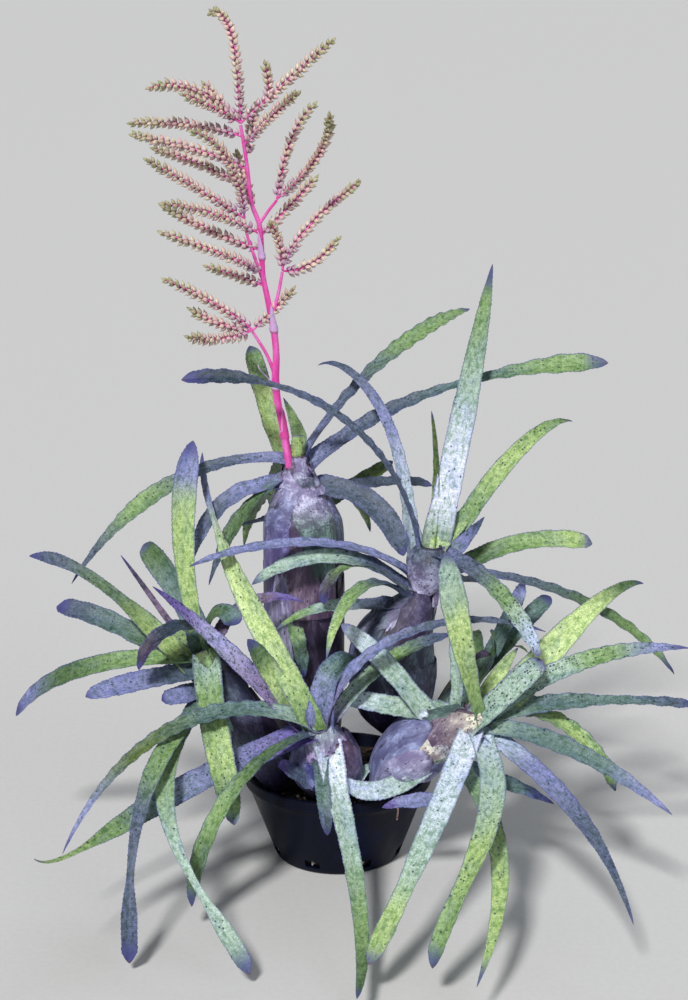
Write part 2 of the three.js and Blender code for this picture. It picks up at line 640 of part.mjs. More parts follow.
function looseRootGeometry() {
  const route = new THREE.CatmullRomCurve3(LOOSE_ROOT.route.map((point) => new THREE.Vector3(...point)));
  const section = new THREE.Shape().absarc(0, 0, LOOSE_ROOT.radius, 0, 2 * Math.PI);
  return new THREE.ExtrudeGeometry(section, {
    steps: LOOSE_ROOT.steps,
    curveSegments: LOOSE_ROOT.arcs,
    extrudePath: route,
  });
}

const plant = new THREE.Group();

function add(name, geometry, color, roughness = 0.7) {
  const material = new THREE.MeshStandardMaterial({ color, roughness, metalness: 0 });
  const mesh = new THREE.Mesh(geometry, material);
  mesh.name = name;
  plant.add(mesh);
}

const scapeSocket = scapeSolid(GAP);

add('pot', geometryOf(potSolid()), COLORS.pot, 0.45);
add('potting_mix', geometryOf(soilSolid()), COLORS.mix, 0.95);
add('loose_root', looseRootGeometry(), COLORS.root);
for (const rosette of ROSETTES) {
  const cut = rosette.name === 'rosette_a' ? scapeSocket : null;
  add(rosette.name, geometryOf(rosetteSolid(rosette, cut)), rosette.color);
}
add('flower_stem', geometryOf(scapeSolid()), COLORS.stem, 0.5);
for (const [name, row] of Object.entries(BRACTS)) {
  add(name, geometryOf(bractSolid(row)), COLORS.bract);
}
for (const [name, spikes] of Object.entries(SPRAYS)) {
  add(name, geometryOf(spraySolid(spikes, scapeSocket)), COLORS.flower);
}

export default plant;
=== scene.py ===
import bmesh
import bpy
import math
import random
from collections import namedtuple
from mathutils import Matrix, Vector, noise


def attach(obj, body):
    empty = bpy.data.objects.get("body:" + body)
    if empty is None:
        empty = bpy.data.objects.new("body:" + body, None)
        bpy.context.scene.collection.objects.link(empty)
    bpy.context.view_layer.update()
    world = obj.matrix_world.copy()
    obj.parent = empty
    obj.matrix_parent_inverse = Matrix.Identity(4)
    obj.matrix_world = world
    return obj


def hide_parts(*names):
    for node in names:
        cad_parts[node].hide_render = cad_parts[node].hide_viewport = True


# Potted bromeliad. Lengths are in millimetres here and in metres in Blender; a compass direction is
# counted from +X towards +Y. The rows of blades, stems and spikes are those of the solids, and so are
# the tanks' rings, without the narrow feet under them.

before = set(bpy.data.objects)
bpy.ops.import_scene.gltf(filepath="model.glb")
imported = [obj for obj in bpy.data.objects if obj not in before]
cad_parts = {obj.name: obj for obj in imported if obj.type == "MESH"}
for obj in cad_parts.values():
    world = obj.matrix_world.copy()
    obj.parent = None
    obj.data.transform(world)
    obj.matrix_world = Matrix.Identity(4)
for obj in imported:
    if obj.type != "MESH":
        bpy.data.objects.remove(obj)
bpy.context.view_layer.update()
MM = 0.001
TURN = 2 * math.pi
UP = Vector((0, 0, 1))
EAST = Vector((1, 0, 0))
Blade = namedtuple("Blade", "compass turn rise fall bow length width lean twist outline below look")

# Rosettes: tank rings (x, y, z, radius), crown and its axis, and blades in the order of Blade. A blade's
# slope goes from rise to fall, later with a greater bow. Lean and twist roll it, and it starts so far
# below the crown.
ROSETTES = {}
ROSETTES["rosette_a"] = ([
    (-38, 45, 84.6, 27), (-37, 45, 104, 36), (-36, 46, 160, 40), (-36, 49, 260, 41), (-37, 53, 340, 40),
    (-39, 56, 364, 35), (-41, 58, 384, 25), (-43, 60, 402, 17), (-43, 60, 424, 11),
], (-43, 60, 425), (0, 0, 1), [
    (179, 27, 30, -54, 0.5, 280, 22, -35, 0, "spindle", 12, "lsgs5"),
    (18, 47, 66, -5, 0.8, 310, 22, 5, 20, "lance", 11, "lsgg4"),
    (9, -18, 70, 3, 0.4, 355, 24, 25, 20, "spoon", 31, "lstg5"),
    (130, 0, 53, 71, 1.1, 155, 25, 0, 0, "blunt", 33, "gyyg3"),
    (80, 45, 14, 47, 1.4, 105, 16, 0, 0, "taper", 10, "gggg3"),
    (290, 0, 88, 88, 1, 42, 16, 0, 0, "blunt", 20, "ggyy5"),
    (350, -30, 89, -70, 0.5, 150, 26, 30, 10, "strap", 59, "lsss4"),
    (188, 35, 65, -74, 0.5, 155, 22, -20, -10, "taper", 46, "llsl3"),
    (205, 10, -1, -69, 0.5, 150, 20, -15, 0, "spindle", 24, "lGGs3"),
    (194, 25, 2, -5, 0.8, 70, 12, -10, 0, "whip", 70, "kkss3"),
    (25, -10, 11, -14, 1.5, 150, 20, 15, 0, "blunt", 53, "sssd3"),
    (40, -15, 11, 28, 0.8, 125, 20, 20, 10, "strap", 70, "GGoo4"),
    (95, 10, 20, -65, 1, 230, 24, 0, 0, "strap", 40, "gGGg3"),
    (55, 10, 15, -62, 1, 175, 22, 0, 0, "taper", 62, "gGGg3"),
    (112, 0, 15, -70, 1, 205, 22, 0, 0, "taper", 66, "gGGg3"),
    (255, 59, 39, -79, 0.4, 110, 17, 0, 0, "strap", 150, "ttgt5"),
])
ROSETTES["rosette_b"] = ([
    (64, 24, 134, 22), (60, 20, 158, 38), (58, 18, 190, 45), (60, 18, 222, 44), (70, 18, 250, 33),
    (84, 19, 272, 20), (91, 20, 288, 15), (95, 20, 304, 21), (97, 20, 322, 22), (98, 20, 336, 12),
], (97, 20, 332), (0.19, -0.05, 0.98), [
    (165, -35, 85, -27, 3, 305, 20, -40, 0, "whip", 49, "wwls3"),
    (66, -22, 74, 105, 1.1, 160, 12, -10, 30, "whip", 12, "yyoo6"),
    (20, 0, 75, 25, 1, 62, 27, 35, 0, "strap", 15, "wYYy3"),
    (30, 0, 76, 79, 1.2, 330, 27, 50, 0, "taper", 28, "gWpg3"),
    (8, 45, 57, -20, 2.6, 255, 20, 40, 0, "taper", 29, "lgyg5"),
    (348, -9, 46, 58, 1.7, 90, 18, 60, 0, "taper", 30, "lgls3"),
    (5, -5, 35, -14, 1.4, 185, 21, 40, 0, "blunt", 44, "lGgy4"),
    (350, 10, 0, -53, 1.3, 290, 18, 22, 0, "club", 22, "lsGg4"),
    (315, 0, 36, -56, 0.5, 175, 21, 15, 0, "strap", 10, "lsgw9"),
    (195, -6, 82, -19, 0.4, 260, 16, -15, 0, "strap", 44, "llll3"),
    (202, -18, 77, -38, 0.8, 205, 20, -30, 0, "strap", 68, "lspp4"),
    (222, 25, 63, -69, 1, 195, 18, -10, 0, "taper", 70, "lsgy4"),
    (205, 5, 15, -31, 2.3, 165, 18, -20, 0, "taper", 70, "lspg4"),
    (187, -9, 93, -10, 1, 375, 20, -15, -30, "paddle", 35, "lssd3"),
    (85, 5, 5, -50, 1, 205, 22, 0, 0, "strap", 40, "lGGs3"),
    (45, 0, 10, -50, 1, 175, 22, 0, 0, "taper", 52, "lssg3"),
    (187, 53, 42, -89, 2.4, 145, 14, 0, 0, "blunt", 55, "wYgk4"),
])
ROSETTES["rosette_c"] = ([
    (54, -41, 86, 17), (60, -46, 104, 27), (72, -52, 128, 33), (90, -58, 148, 33), (112, -64, 161, 27),
    (132, -68, 173, 19), (150, -70, 184, 11),
], (155, -71, 181), (0.72, -0.08, 0.69), [
    (252, -76, 56, 84, 0.5, 205, 26, -110, 10, "club", 11, "gyYp2"),
    (105, -13, 96, -13, 3.2, 145, 18, -50, 0, "club", 43, "tppl3"),
    (15, 35, 44, -22, 3, 250, 33, 50, 0, "drawn", 10, "gYYG2"),
    (40, -5, 64, 39, 0.9, 105, 19, 50, 0, "taper", 34, "gyYy2"),
    (325, 50, 65, 41, 0.5, 130, 24, 60, 0, "blunt", 47, "cppp9"),
    (10, -6, 48, -5, 0.8, 230, 22, 35, 0, "taper", 10, "ppgl7"),
    (354, 16, 41, -11, 0.4, 225, 22, 30, 0, "waisted", 10, "ptts5"),
    (330, 0, 25, -31, 0.5, 225, 20, 35, 0, "taper", 21, "pttl3"),
    (314, -28, -14, -40, 2.3, 290, 24, 10, 0, "drawn", 19, "wlss4"),
    (7, -43, 57, -65, 0.5, 170, 20, 20, 0, "strap", 11, "pgyg4"),
    (287, -62, -11, -74, 3.5, 325, 25, 0, 0, "slack", 22, "wpyg5"),
    (298, -52, -13, -28, 2.1, 335, 19, 0, 0, "taper", 60, "pgyy4"),
    (254, -14, -3, -33, 0.4, 315, 25, -10, 0, "slack", 19, "Wwpy3"),
    (335, 35, -16, -32, 2.2, 125, 18, 40, 0, "taper", 70, "lttb3"),
    (174, -10, 10, 2, 1.6, 145, 23, -40, 0, "strap", 13, "pppw3"),
    (204, -6, -35, 58, 1.9, 120, 20, -50, 0, "strap", 67, "wpww2"),
    (60, 0, 30, -50, 1, 175, 22, 0, 0, "strap", 30, "gGGg3"),
    (176, -26, 64, 28, 1.2, 170, 21, -50, 0, "strap", 55, "wppw2"),
])
ROSETTES["rosette_d"] = ([
    (-10, -50, 86, 20), (-11, -54, 104, 32), (-13, -58, 126, 36), (-15, -66, 148, 28), (-17, -74, 162, 18),
    (-19, -82, 176, 11),
], (-19, -84, 176), (-0.13, -0.39, 0.91), [
    (165, -70, 73, 38, 0.5, 335, 25, -60, 0, "necked", 10, "gYYl3"),
    (190, -5, 64, 58, 1.4, 155, 24, -60, 0, "strap", 51, "GyYG3"),
    (60, -25, 100, -83, 1.9, 115, 25, 20, 0, "strap", 10, "lltt3"),
    (9, -6, 101, -21, 0.6, 285, 18, 30, 0, "whip", 10, "vlss3"),
    (35, -14, 54, 4, 1, 175, 18, 20, 0, "strap", 13, "vpgs3"),
    (192, 69, -14, 37, 3.3, 400, 27, -35, 0, "tongue", 12, "qlgy6"),
    (290, -27, -48, 5, 0.9, 355, 26, 0, 0, "whip", 24, "WpgG2"),
    (225, -5, 20, -85, 0.8, 245, 20, -10, 0, "club", 14, "sGgG4"),
    (188, 37, 53, -57, 0.6, 325, 22, -25, 0, "drawn", 11, "ptol4"),
    (261, 31, -10, -83, 1.5, 100, 14, 5, 0, "strap", 39, "stts4"),
    (215, -14, -11, 55, 1.2, 58, 22, -35, 0, "taper", 61, "llss3"),
    (180, 9, 48, 42, 3.4, 240, 24, -40, 0, "taper", 27, "qvLq8"),
    (85, 0, 40, -60, 1, 90, 20, 0, 0, "strap", 25, "gGGg3"),
])
ROSETTES["rosette_e"] = ([
    (-66, -29, 86, 14), (-70, -31, 104, 20), (-84, -34, 130, 28), (-100, -35, 160, 27),
    (-117, -35, 195, 22), (-130, -35, 220, 18), (-140, -35, 242, 11),
], (-141, -35, 243), (-0.42, 0.06, 0.91), [
    (145, -88, 81, 65, 0.4, 225, 25, -60, 95, "club", 10, "gyyl2"),
    (182, -30, 47, -12, 3.2, 260, 23, -50, 0, "waisted", 59, "oyGs4"),
    (175, -20, 30, -3, 2.4, 185, 22, -35, 0, "blunt", 38, "tGts5"),
    (194, -58, 17, -52, 0.9, 245, 22, -15, -50, "strap", 19, "ggGl4"),
    (205, 5, 2, -7, 1.1, 135, 23, -35, 0, "strap", 27, "tsll3"),
    (215, 0, -3, 2, 1.2, 65, 22, -35, 0, "strap", 46, "tsll3"),
    (276, 19, -35, -55, 0.9, 185, 28, 5, 0, "strap", 11, "pgyg5"),
    (150, -15, 100, 30, 0.5, 150, 25, -60, 0, "blunt", 24, "GttG2"),
    (160, 4, 54, 52, 0.6, 180, 11, -45, 0, "whip", 59, "kkmk5"),
    (211, 6, 116, -75, 1.1, 175, 20, -15, 0, "strap", 54, "kddk6"),
    (160, -5, 82, 26, 0.6, 65, 24, -50, 0, "blunt", 33, "ggyg8"),
    (15, -60, 100, -100, 2.6, 75, 24, 20, 0, "blunt", 10, "GGGt3"),
    (235, 41, -4, -83, 1.5, 340, 20, -10, 0, "ladle", 58, "tgss5"),
    (228, 110, -22, -62, 3.4, 370, 20, -10, 45, "ladle", 48, "tgpp3"),
    (17, -22, 88, -23, 1, 130, 15, 45, 0, "taper", 15, "smmq4"),
    (120, 0, 30, -50, 1, 175, 22, 0, 0, "strap", 40, "gGGg3"),
])
ROSETTES["rosette_f"] = ([
    (79, 8, 100, 8), (98, 15, 124, 13), (120, 24, 155, 15), (140, 31, 185, 14), (157, 35, 206, 10),
    (161, 35, 213, 5),
], (163, 35, 214), (0.5, 0, 0.86), [
    (23, 36, 71, 49, 0.5, 90, 16, 45, 0, "strap", 11, "tttl3"),
    (30, 5, 41, 31, 1.7, 120, 19, 30, 0, "blunt", 35, "GGtt3"),
    (183, 24, 149, 53, 1.6, 55, 20, -30, 0, "strap", 27, "gGGg3"),
    (90, 0, 40, -40, 1, 110, 14, 0, 0, "taper", 25, "gGGg3"),
    (55, 0, 30, -40, 1, 110, 14, 0, 0, "taper", 30, "gGGg3"),
])

# Widths of the blades' outlines as shares of the full width, at these shares of the length
OUTLINE_SHARES = (0, 0.18, 0.38, 0.58, 0.75, 0.88, 0.96, 1)
OUTLINES = {
    "strap": (0.85, 1, 1, 1, 0.95, 0.78, 0.45, 0),
    "taper": (0.85, 1, 1, 0.9, 0.68, 0.42, 0.18, 0),
    "drawn": (0.9, 1, 0.92, 0.68, 0.42, 0.24, 0.12, 0),
    "blunt": (0.8, 0.9, 1, 1, 1, 0.95, 0.72, 0),
    "club": (0.5, 0.6, 0.78, 0.94, 1, 0.88, 0.48, 0),
    "spoon": (0.95, 0.9, 0.72, 0.42, 0.75, 1, 0.66, 0),
    "paddle": (0.9, 0.62, 0.58, 0.58, 0.36, 0.9, 0.8, 0),
    "necked": (0.85, 1, 1, 0.75, 0.3, 0.42, 0.34, 0),
    "waisted": (0.8, 1, 0.95, 0.5, 0.5, 0.58, 0.3, 0),
    "spindle": (0.6, 0.6, 0.8, 1, 0.6, 0.32, 0.15, 0),
    "whip": (1, 0.88, 0.72, 0.6, 0.48, 0.34, 0.2, 0),
    "lance": (0.5, 0.6, 0.78, 0.94, 0.9, 0.5, 0.28, 0),
    "slack": (0.85, 1, 1, 0.86, 0.68, 0.74, 0.6, 0),
    "tongue": (0.9, 1, 1, 0.72, 0.2, 0.14, 0.1, 0),
    "ladle": (1, 1, 1, 0.6, 0.36, 0.8, 0.8, 0),
}

# Leaf bases that clasp a tank: (compass, from, to, spread, lift at foot, lift at top, kind, look). They
# reach the spread's degrees to either side. A point narrows to its top, a round one ends bluntly, a cup
# narrows to its foot, and a band keeps its width. A look's first letter stands at the foot; the dark 'u'
# and 'k' there are partly each rosette's own dark tone and partly painted shade, where bases run
# beneath others and under the crown's leaves.
BASES = {}
# Rosette a: its lowest bases, near black ('kk', 'uk', 'ku') up to about 0.4 of the tank, are painted deep
# shadow on its tube under the crown.
BASES["rosette_a"] = [
    (95, 0, 0.42, 80, 0.5, 2.5, "point", "uk3"), (265, 0, 0.4, 80, 0.5, 2, "point", "kk3"),
    (350, 0.02, 0.42, 70, 0.6, 2, "point", "kk3"), (180, 0.05, 0.44, 70, 0.6, 2, "point", "ku3"),
    (280, 0.37, 0.66, 46, 2.6, 1.2, "round", "mu3"), (30, 0.3, 0.66, 60, 1, 2.5, "point", "uk4"),
    (130, 0.36, 0.72, 60, 1, 2.5, "point", "us4"), (214, 0.34, 0.68, 54, 1.6, 3, "round", "ql1"),
    (232, 0.56, 0.92, 66, 0.6, 2.5, "point", "lL2"), (60, 0.55, 0.9, 66, 0.8, 2.5, "point", "us3"),
    (298, 0.43, 0.8, 44, 4.5, 1, "cup", "tL5"), (345, 0.46, 0.7, 26, 3.5, 2, "cup", "sl3"),
]
BASES["rosette_b"] = [
    (90, 0, 0.4, 90, 0.4, 2, "point", "uk4"), (240, 0, 0.42, 70, 0.6, 2.5, "point", "us3"),
    (320, 0.02, 0.46, 60, 0.6, 2.5, "point", "us4"), (175, 0.05, 0.44, 55, 0.6, 2.5, "point", "ul2"),
    (20, 0.2, 0.62, 75, 0.6, 2, "point", "us4"), (265, 0.3, 0.68, 80, 0.5, 2, "point", "ku3"),
    (140, 0.34, 0.72, 75, 0.6, 2, "point", "uk3"), (255, 0.66, 0.99, 92, 3.5, 1.5, "cup", "Ls8"),
    (350, 0.6, 0.9, 50, 2, 2, "cup", "vL4"), (95, 0.62, 0.95, 90, 1.5, 1.5, "cup", "us4"),
]
BASES["rosette_c"] = [
    (60, 0, 0.55, 85, 0.6, 2, "point", "ul2"), (10, 0.1, 0.66, 70, 0.8, 2, "point", "um3"),
    (130, 0.12, 0.66, 70, 0.8, 2, "point", "ul3"), (296, 0.02, 0.62, 62, 1, 2.2, "point", "Ll3"),
    (205, 0, 0.66, 58, 1.6, 2.6, "point", "ll1"), (262, 0, 0.56, 58, 2.4, 3, "round", "lL2"),
    (285, 0.46, 0.86, 80, 1.2, 1.2, "band", "cl5"), (250, 0.6, 0.95, 70, 1, 1.8, "point", "mc5"),
    (70, 0.55, 0.95, 90, 0.8, 1.6, "point", "lc4"),
]
BASES["rosette_d"] = [
    (90, 0, 0.6, 85, 0.6, 2, "point", "ul3"), (255, 0, 0.64, 60, 0.8, 2.4, "point", "ub2"),
    (200, 0, 0.8, 58, 1.4, 2.6, "point", "ul2"), (325, 0, 0.78, 56, 1.6, 3.2, "point", "lm4"),
    (20, 0, 0.7, 55, 1.2, 2.6, "point", "lu3"), (295, 0, 0.36, 40, 2.6, 3.4, "round", "lb2"),
    (150, 0.3, 0.95, 70, 0.8, 2, "point", "us3"), (270, 0.62, 1, 95, 1, 1.4, "band", "vw4"),
]
BASES["rosette_e"] = [
    (90, 0, 0.5, 90, 0.5, 2, "point", "uk3"), (270, 0, 0.5, 80, 0.6, 2, "point", "us3"),
    (180, 0.1, 0.6, 70, 0.8, 2, "point", "ul2"), (0, 0.15, 0.62, 65, 0.8, 2, "point", "uk3"),
    (300, 0.36, 0.82, 66, 0.8, 2.4, "point", "us4"), (225, 0.4, 0.86, 60, 0.8, 2.4, "point", "ul3"),
    (120, 0.45, 0.9, 70, 0.8, 2, "point", "us3"), (275, 0.7, 1, 95, 1, 1.4, "band", "sg6"),
]
BASES["rosette_f"] = [
    (270, 0.1, 0.6, 80, 0.4, 1.2, "point", "ot3"), (90, 0.2, 0.8, 80, 0.4, 1.2, "point", "uk3"),
    (300, 0.45, 0.95, 75, 0.4, 1.2, "point", "Gt3"),
]

# Young and withered leaves low in the clump: (x, y, z), then a blade's row as far as its outline, look
LOW_LEAVES = {
    "rosette_d": [
        ((-26, -97, 112), 176, 10, 42, 30, 1, 44, 22, -20, 0, "strap", "lssq3"),
        ((-72, -48, 146), 170, 6, 26, -22, 1, 52, 17, -30, 0, "taper", "GGtG4"),
        ((16, -62, 100), 28, 10, 48, 20, 1, 34, 13, 20, 0, "taper", "wwpG2"),
    ],
    "rosette_c": [
        ((106, -100, 98), 184, 10, 8, -12, 1, 62, 17, -35, 0, "taper", "sllq2"),
    ],
}

# Colours of leaves and their bases, for the letters of a look; its digit says how speckled it is.
# 'o' is leaf olive as it looks in shade: painted shade. 'u' is a dark violet for the low parts of
# tanks and bases, partly each rosette's own dark tone and partly painted shade under the leaves.
# 'k' is near black: the colour of withered leaves, and painted shade low on the tanks, on rosette a's
# lowest bases and inside the tanks' hollows.
PALETTE = {
    "g": (0.215, 0.345, 0.125), "G": (0.085, 0.155, 0.055), "y": (0.36, 0.5, 0.175),
    "Y": (0.5, 0.65, 0.26), "o": (0.095, 0.15, 0.03), "p": (0.36, 0.49, 0.4), "w": (0.56, 0.66, 0.74),
    "l": (0.21, 0.235, 0.43), "b": (0.1, 0.12, 0.36), "v": (0.31, 0.24, 0.46), "d": (0.028, 0.05, 0.075),
    "k": (0.05, 0.035, 0.075), "s": (0.08, 0.108, 0.16), "t": (0.108, 0.185, 0.165),
    "m": (0.17, 0.115, 0.19), "c": (0.62, 0.58, 0.5), "u": (0.06, 0.048, 0.12), "L": (0.42, 0.4, 0.62),
    "W": (0.74, 0.8, 0.92), "q": (0.13, 0.09, 0.31),
}
# Where along a leaf each letter of a look stands, by the number of its letters
LOOK_SHARES = {2: (0.1, 0.9), 4: (0, 0.3, 0.62, 0.88)}

# Flower stem and side axes, as rings (x, y, z, radius)
SCAPE = {
    "main": [
        (-48, 53, 386, 4), (-52, 53, 420, 4.2), (-57, 55, 452, 4), (-63, 58, 482, 3.9),
        (-65, 60, 505, 4.1),
        (-64, 60, 530, 3.6), (-66, 60, 556, 3.6), (-69, 60, 572, 3.4), (-73, 60, 593, 3),
        (-77, 60, 614, 2.9), (-78, 60, 636, 2.9), (-80, 60, 666, 2.6), (-88, 60, 690, 2.2),
        (-92, 60, 727, 1.9), (-98, 60, 768, 1.7),
    ],
    "low_left": [
        (-65, 60, 508, 2.2), (-74, 58, 532, 1.8), (-88, 56, 556, 1.5),
    ],
    "low_right": [
        (-68, 60, 570, 2), (-61, 60, 597, 1.8), (-57, 60, 618, 1.5),
    ],
    "up_left": [
        (-78, 60, 612, 1.8), (-86, 58, 636, 1.6), (-92, 57, 654, 1.5), (-95, 56, 672, 1.4),
    ],
    "up_right": [
        (-80, 60, 668, 1.7), (-70, 60, 682, 1.5), (-62, 60, 692, 1.4),
    ],
}

# Spikes: (start x, y, z, compass, turn, rise, fall, bow, length)
SPRAYS = {
    "spray_top": [
        (-98, 60, 770, 101, 25, 82, -22, 2.7, 150), (-98, 60, 770, 190, 5, 48, -15, 1.4, 110),
        (-98, 60, 770, 205, 0, 40, 20, 0.5, 75), (-98, 60, 770, 355, 0, 42, 41, 1.2, 130),
        (-70, 58, 793, 30, 20, 76, 105, 0.5, 42), (-116, 57, 788, 150, 0, 48, 40, 1, 35),
    ],
    "spray_up_right": [
        (-62, 60, 693, 41, -34, 77, 44, 2.1, 110), (-62, 60, 693, 344, -76, 39, 45, 0.4, 140),
    ],
    "spray_low_right": [
        (-57, 60, 620, 0, 60, 80, 16, 0.6, 140), (-57, 60, 620, 28, 1, -40, 47, 0.4, 80),
        (-57, 60, 620, 20, 30, 80, 122, 0.6, 58),
    ],
    "spray_up_left": [
        (-95, 56, 674, 266, -79, 66, 14, 3, 125), (-95, 56, 674, 191, 16, 35, 29, 1.1, 125),
    ],
    "spray_low_left": [
        (-88, 56, 558, 185, 0, 46, 24, 0.5, 110), (-88, 56, 558, 180, -21, -5, 27, 0.5, 75),
        (-88, 56, 558, 215, 0, -18, 18, 0.8, 85), (-88, 56, 558, 10, 0, 38, 50, 0.8, 65),
    ],
    "spike_left_1": [(-96, 60, 756, 165, 5, 24, -4, 0.5, 125)],
    "spike_left_2": [(-92, 60, 723, 190, -45, 35, 4, 0.5, 135)],
    "spike_left_3": [(-90, 60, 703, 153, 8, 29, 12, 0.6, 120)],
    "spike_left_4": [(-80, 60, 657, 200, 5, 40, 10, 0.5, 115)],
    "spike_left_5": [(-78, 60, 640, 181, -25, 20, 25, 1.1, 120)],
    "spike_left_6": [(-77, 60, 616, 224, -61, 39, 17, 0.4, 125)],
    "spike_left_7": [(-75, 60, 603, 170, -5, 24, 13, 0.5, 70)],
    "spike_right_1": [(-95, 60, 748, 335, -20, 44, 27, 2.5, 95)],
    "spike_right_2": [(-79, 60, 655, 25, 5, 40, 43, 1.1, 90)],
    "spike_back_1": [(-93, 60, 735, 80, 0, 50, 40, 1, 75)],
    "spike_back_2": [(-86, 60, 684, 110, 0, 40, 45, 1, 80)],
}

# Bracts: (height, compass, rise, length, width)
BRACTS = {
    "bract_low": (497, 205, 62, 32, 10),
    "bract_middle": (558, 290, 84, 30, 10),
    "bract_high": (634, 255, 84, 30, 9),
    "bract_foot": (446, 300, 84, 34, 11),
}

# Middle line of the pale root that lies over the rim
LOOSE_ROOT = [
    (44, -72, 86.5), (50, -77, 93), (54, -82, 98.5), (59, -86, 97), (62, -90, 86), (61, -91, 74),
]


def smooth(low, high, x):
    t = min(1, max(0, (x - low) / (high - low)))
    return t * t * (3 - 2 * t)


def lerp(a, b, t):
    return a + (b - a) * t


def tint_mix(a, b, t):
    return tuple(lerp(p, q, t) for p, q in zip(a, b))


def wobble(*where):
    return noise.noise(Vector(where))


def level(compass):
    """Level direction at a compass bearing in degrees."""
    a = math.radians(compass)
    return Vector((math.cos(a), math.sin(a), 0))


def catmull(p0, p1, p2, p3, s):
    """Point on a smooth curve from p1 to p2, for numbers and vectors alike."""
    return 0.5 * ((2 * p1) + (p2 - p0) * s + (2 * p0 - 5 * p1 + 4 * p2 - p3) * s * s
                  + (3 * p1 - p0 - 3 * p2 + p3) * s ** 3)


# Materials

class Nodes:
    """Builds a material's nodes. A value given as an input is linked where it is a socket."""

    def __init__(self, name):
        self.material = bpy.data.materials.new(name)
        self.material.use_nodes = True
        self.tree = self.material.node_tree
        self.shader = self.tree.nodes["Principled BSDF"]

    def put(self, kind, inputs, out=0, **settings):
        node = self.tree.nodes.new(kind)
        for key, value in settings.items():
            setattr(node, key, value)
        for key, value in inputs.items():
            self.feed(node.inputs[key], value)
        return node.outputs[out]

    def feed(self, socket, value):
        if isinstance(value, bpy.types.NodeSocket):
            self.tree.links.new(value, socket)
        else:
            socket.default_value = value

    def attribute(self, name, out="Color"):
        return self.put("ShaderNodeAttribute", {}, out, attribute_name=name)

    def object_place(self):
        return self.put("ShaderNodeTexCoord", {}, "Object")

    def parts(self, color):
        return self.put("ShaderNodeSeparateColor", {0: color}).node.outputs[:3]

    def stretch(self, vector, x, y, z=1.0):
        return self.put("ShaderNodeVectorMath", {0: vector, 1: (x, y, z)}, operation="MULTIPLY")

    def pale(self, color, factors, add):
        """The colour times three factors, with a little added."""
        return self.put("ShaderNodeVectorMath", {0: self.stretch(color, *factors), 1: add}, operation="ADD")

    def noise(self, vector, scale, detail, roughness=0.55):
        return self.put("ShaderNodeTexNoise", {
            "Vector": vector, "Scale": scale, "Detail": detail, "Roughness": roughness})

    def field(self, place, across, along, detail, roughness=0.55):
        """Noise with so many features a unit across and along."""
        return self.noise(self.stretch(place, across, along), 1.0, detail, roughness)

    def spots(self, vector, amount):
        """Round spots of uneven size, one at most in each cell of the vector's unit."""
        cell = self.put("ShaderNodeTexVoronoi", {"Vector": vector, "Scale": 1.0}).node
        size, chance, _ = self.parts(cell.outputs["Color"])
        reach = self.step(size, 0.0, 1.0, SPOT_SMALL, SPOT_LARGE)
        inside = self.step(self.math("SUBTRACT", reach, cell.outputs["Distance"]), -0.03, 0.05)
        return self.times(inside, self.step(self.math("SUBTRACT", amount, chance), -0.02, 0.02))

    def math(self, operation, a, b=0.0):
        return self.put("ShaderNodeMath", {0: a, 1: b}, operation=operation)

    def step(self, value, low, high, to_low=0.0, to_high=1.0):
        return self.put("ShaderNodeMapRange", {
            "Value": value, "From Min": low, "From Max": high, "To Min": to_low, "To Max": to_high,
        }, interpolation_type="SMOOTHSTEP")

    def sum(self, *terms):
        total = terms[0]
        for term in terms[1:]:
            total = self.math("ADD", total, term)
        return total

    def times(self, a, b):
        return self.math("MULTIPLY", a, b)

    def swing(self, field, by):
        """How far a field is from its middle, times a factor."""
        return self.times(self.math("SUBTRACT", field, 0.5), by)

    def from_middle(self, across):
        return self.math("ABSOLUTE", self.math("SUBTRACT", across, 0.5))

    def mix(self, share, a, b):
        a, b = (v if isinstance(v, bpy.types.NodeSocket) else (*v, 1) for v in (a, b))
        return self.put("ShaderNodeMix", {0: share, 6: a, 7: b}, 2, data_type="RGBA")

    def over(self, color, field, low, high, share, other):
        """Lays another colour over this one, up to a share, as the field goes from low to high."""
        return self.mix(self.step(field, low, high, 0.0, share), color, other)

    def bump(self, height, strength, distance, normal=None):
        inputs = {"Height": height, "Strength": strength, "Distance": distance}
        if normal is not None:
            inputs["Normal"] = normal
        return self.put("ShaderNodeBump", inputs)

    def finish(self, color, roughness, normal=None, gloss=None):
        sockets = {
            "Base Color": color, "Roughness": roughness, "Normal": normal, "Specular IOR Level": gloss}
        for key, value in sockets.items():
            if value is not None:
                self.feed(self.shader.inputs[key], value)
        return self.material


# The skins of leaves, stems, bracts and flowers take their scales in features a millimetre

SPOT_SMALL = 0.08
SPOT_LARGE = 0.42
LEAF_GLOSS = 0.35
POT_GLOSS = 0.14
LEAF_SPECK = (0.015, 0.02, 0.045)
LEAF_EDGE_TINT_AND_SHADE = (0.075, 0.075, 0.26)
LEAF_TIP = (0.06, 0.06, 0.23)
DRY_TIP = (0.12, 0.07, 0.06)
BASE_SPECK = (0.03, 0.024, 0.035)
BASE_EDGE = (0.035, 0.02, 0.025)
PINKS = ((0.74, 0.045, 0.36), (0.86, 0.14, 0.56))
PINK_BLOOM = (0.82, 0.42, 0.74)
PAPERS = ((0.66, 0.48, 0.80), (0.52, 0.50, 0.84))
PAPER_VEIN = (0.70, 0.22, 0.52)
PAPER_FOOT = (0.25, 0.05, 0.10)
PAPER_TIP = (0.66, 0.62, 0.74)
PAPER_PINK = (0.74, 0.06, 0.36)
PLASTICS = ((0.0015, 0.0028, 0.012), (0.005, 0.011, 0.045))
PLASTIC_DUST = (0.07, 0.07, 0.09)
CRUMBS = ((0.006, 0.004, 0.004), (0.035, 0.022, 0.016))
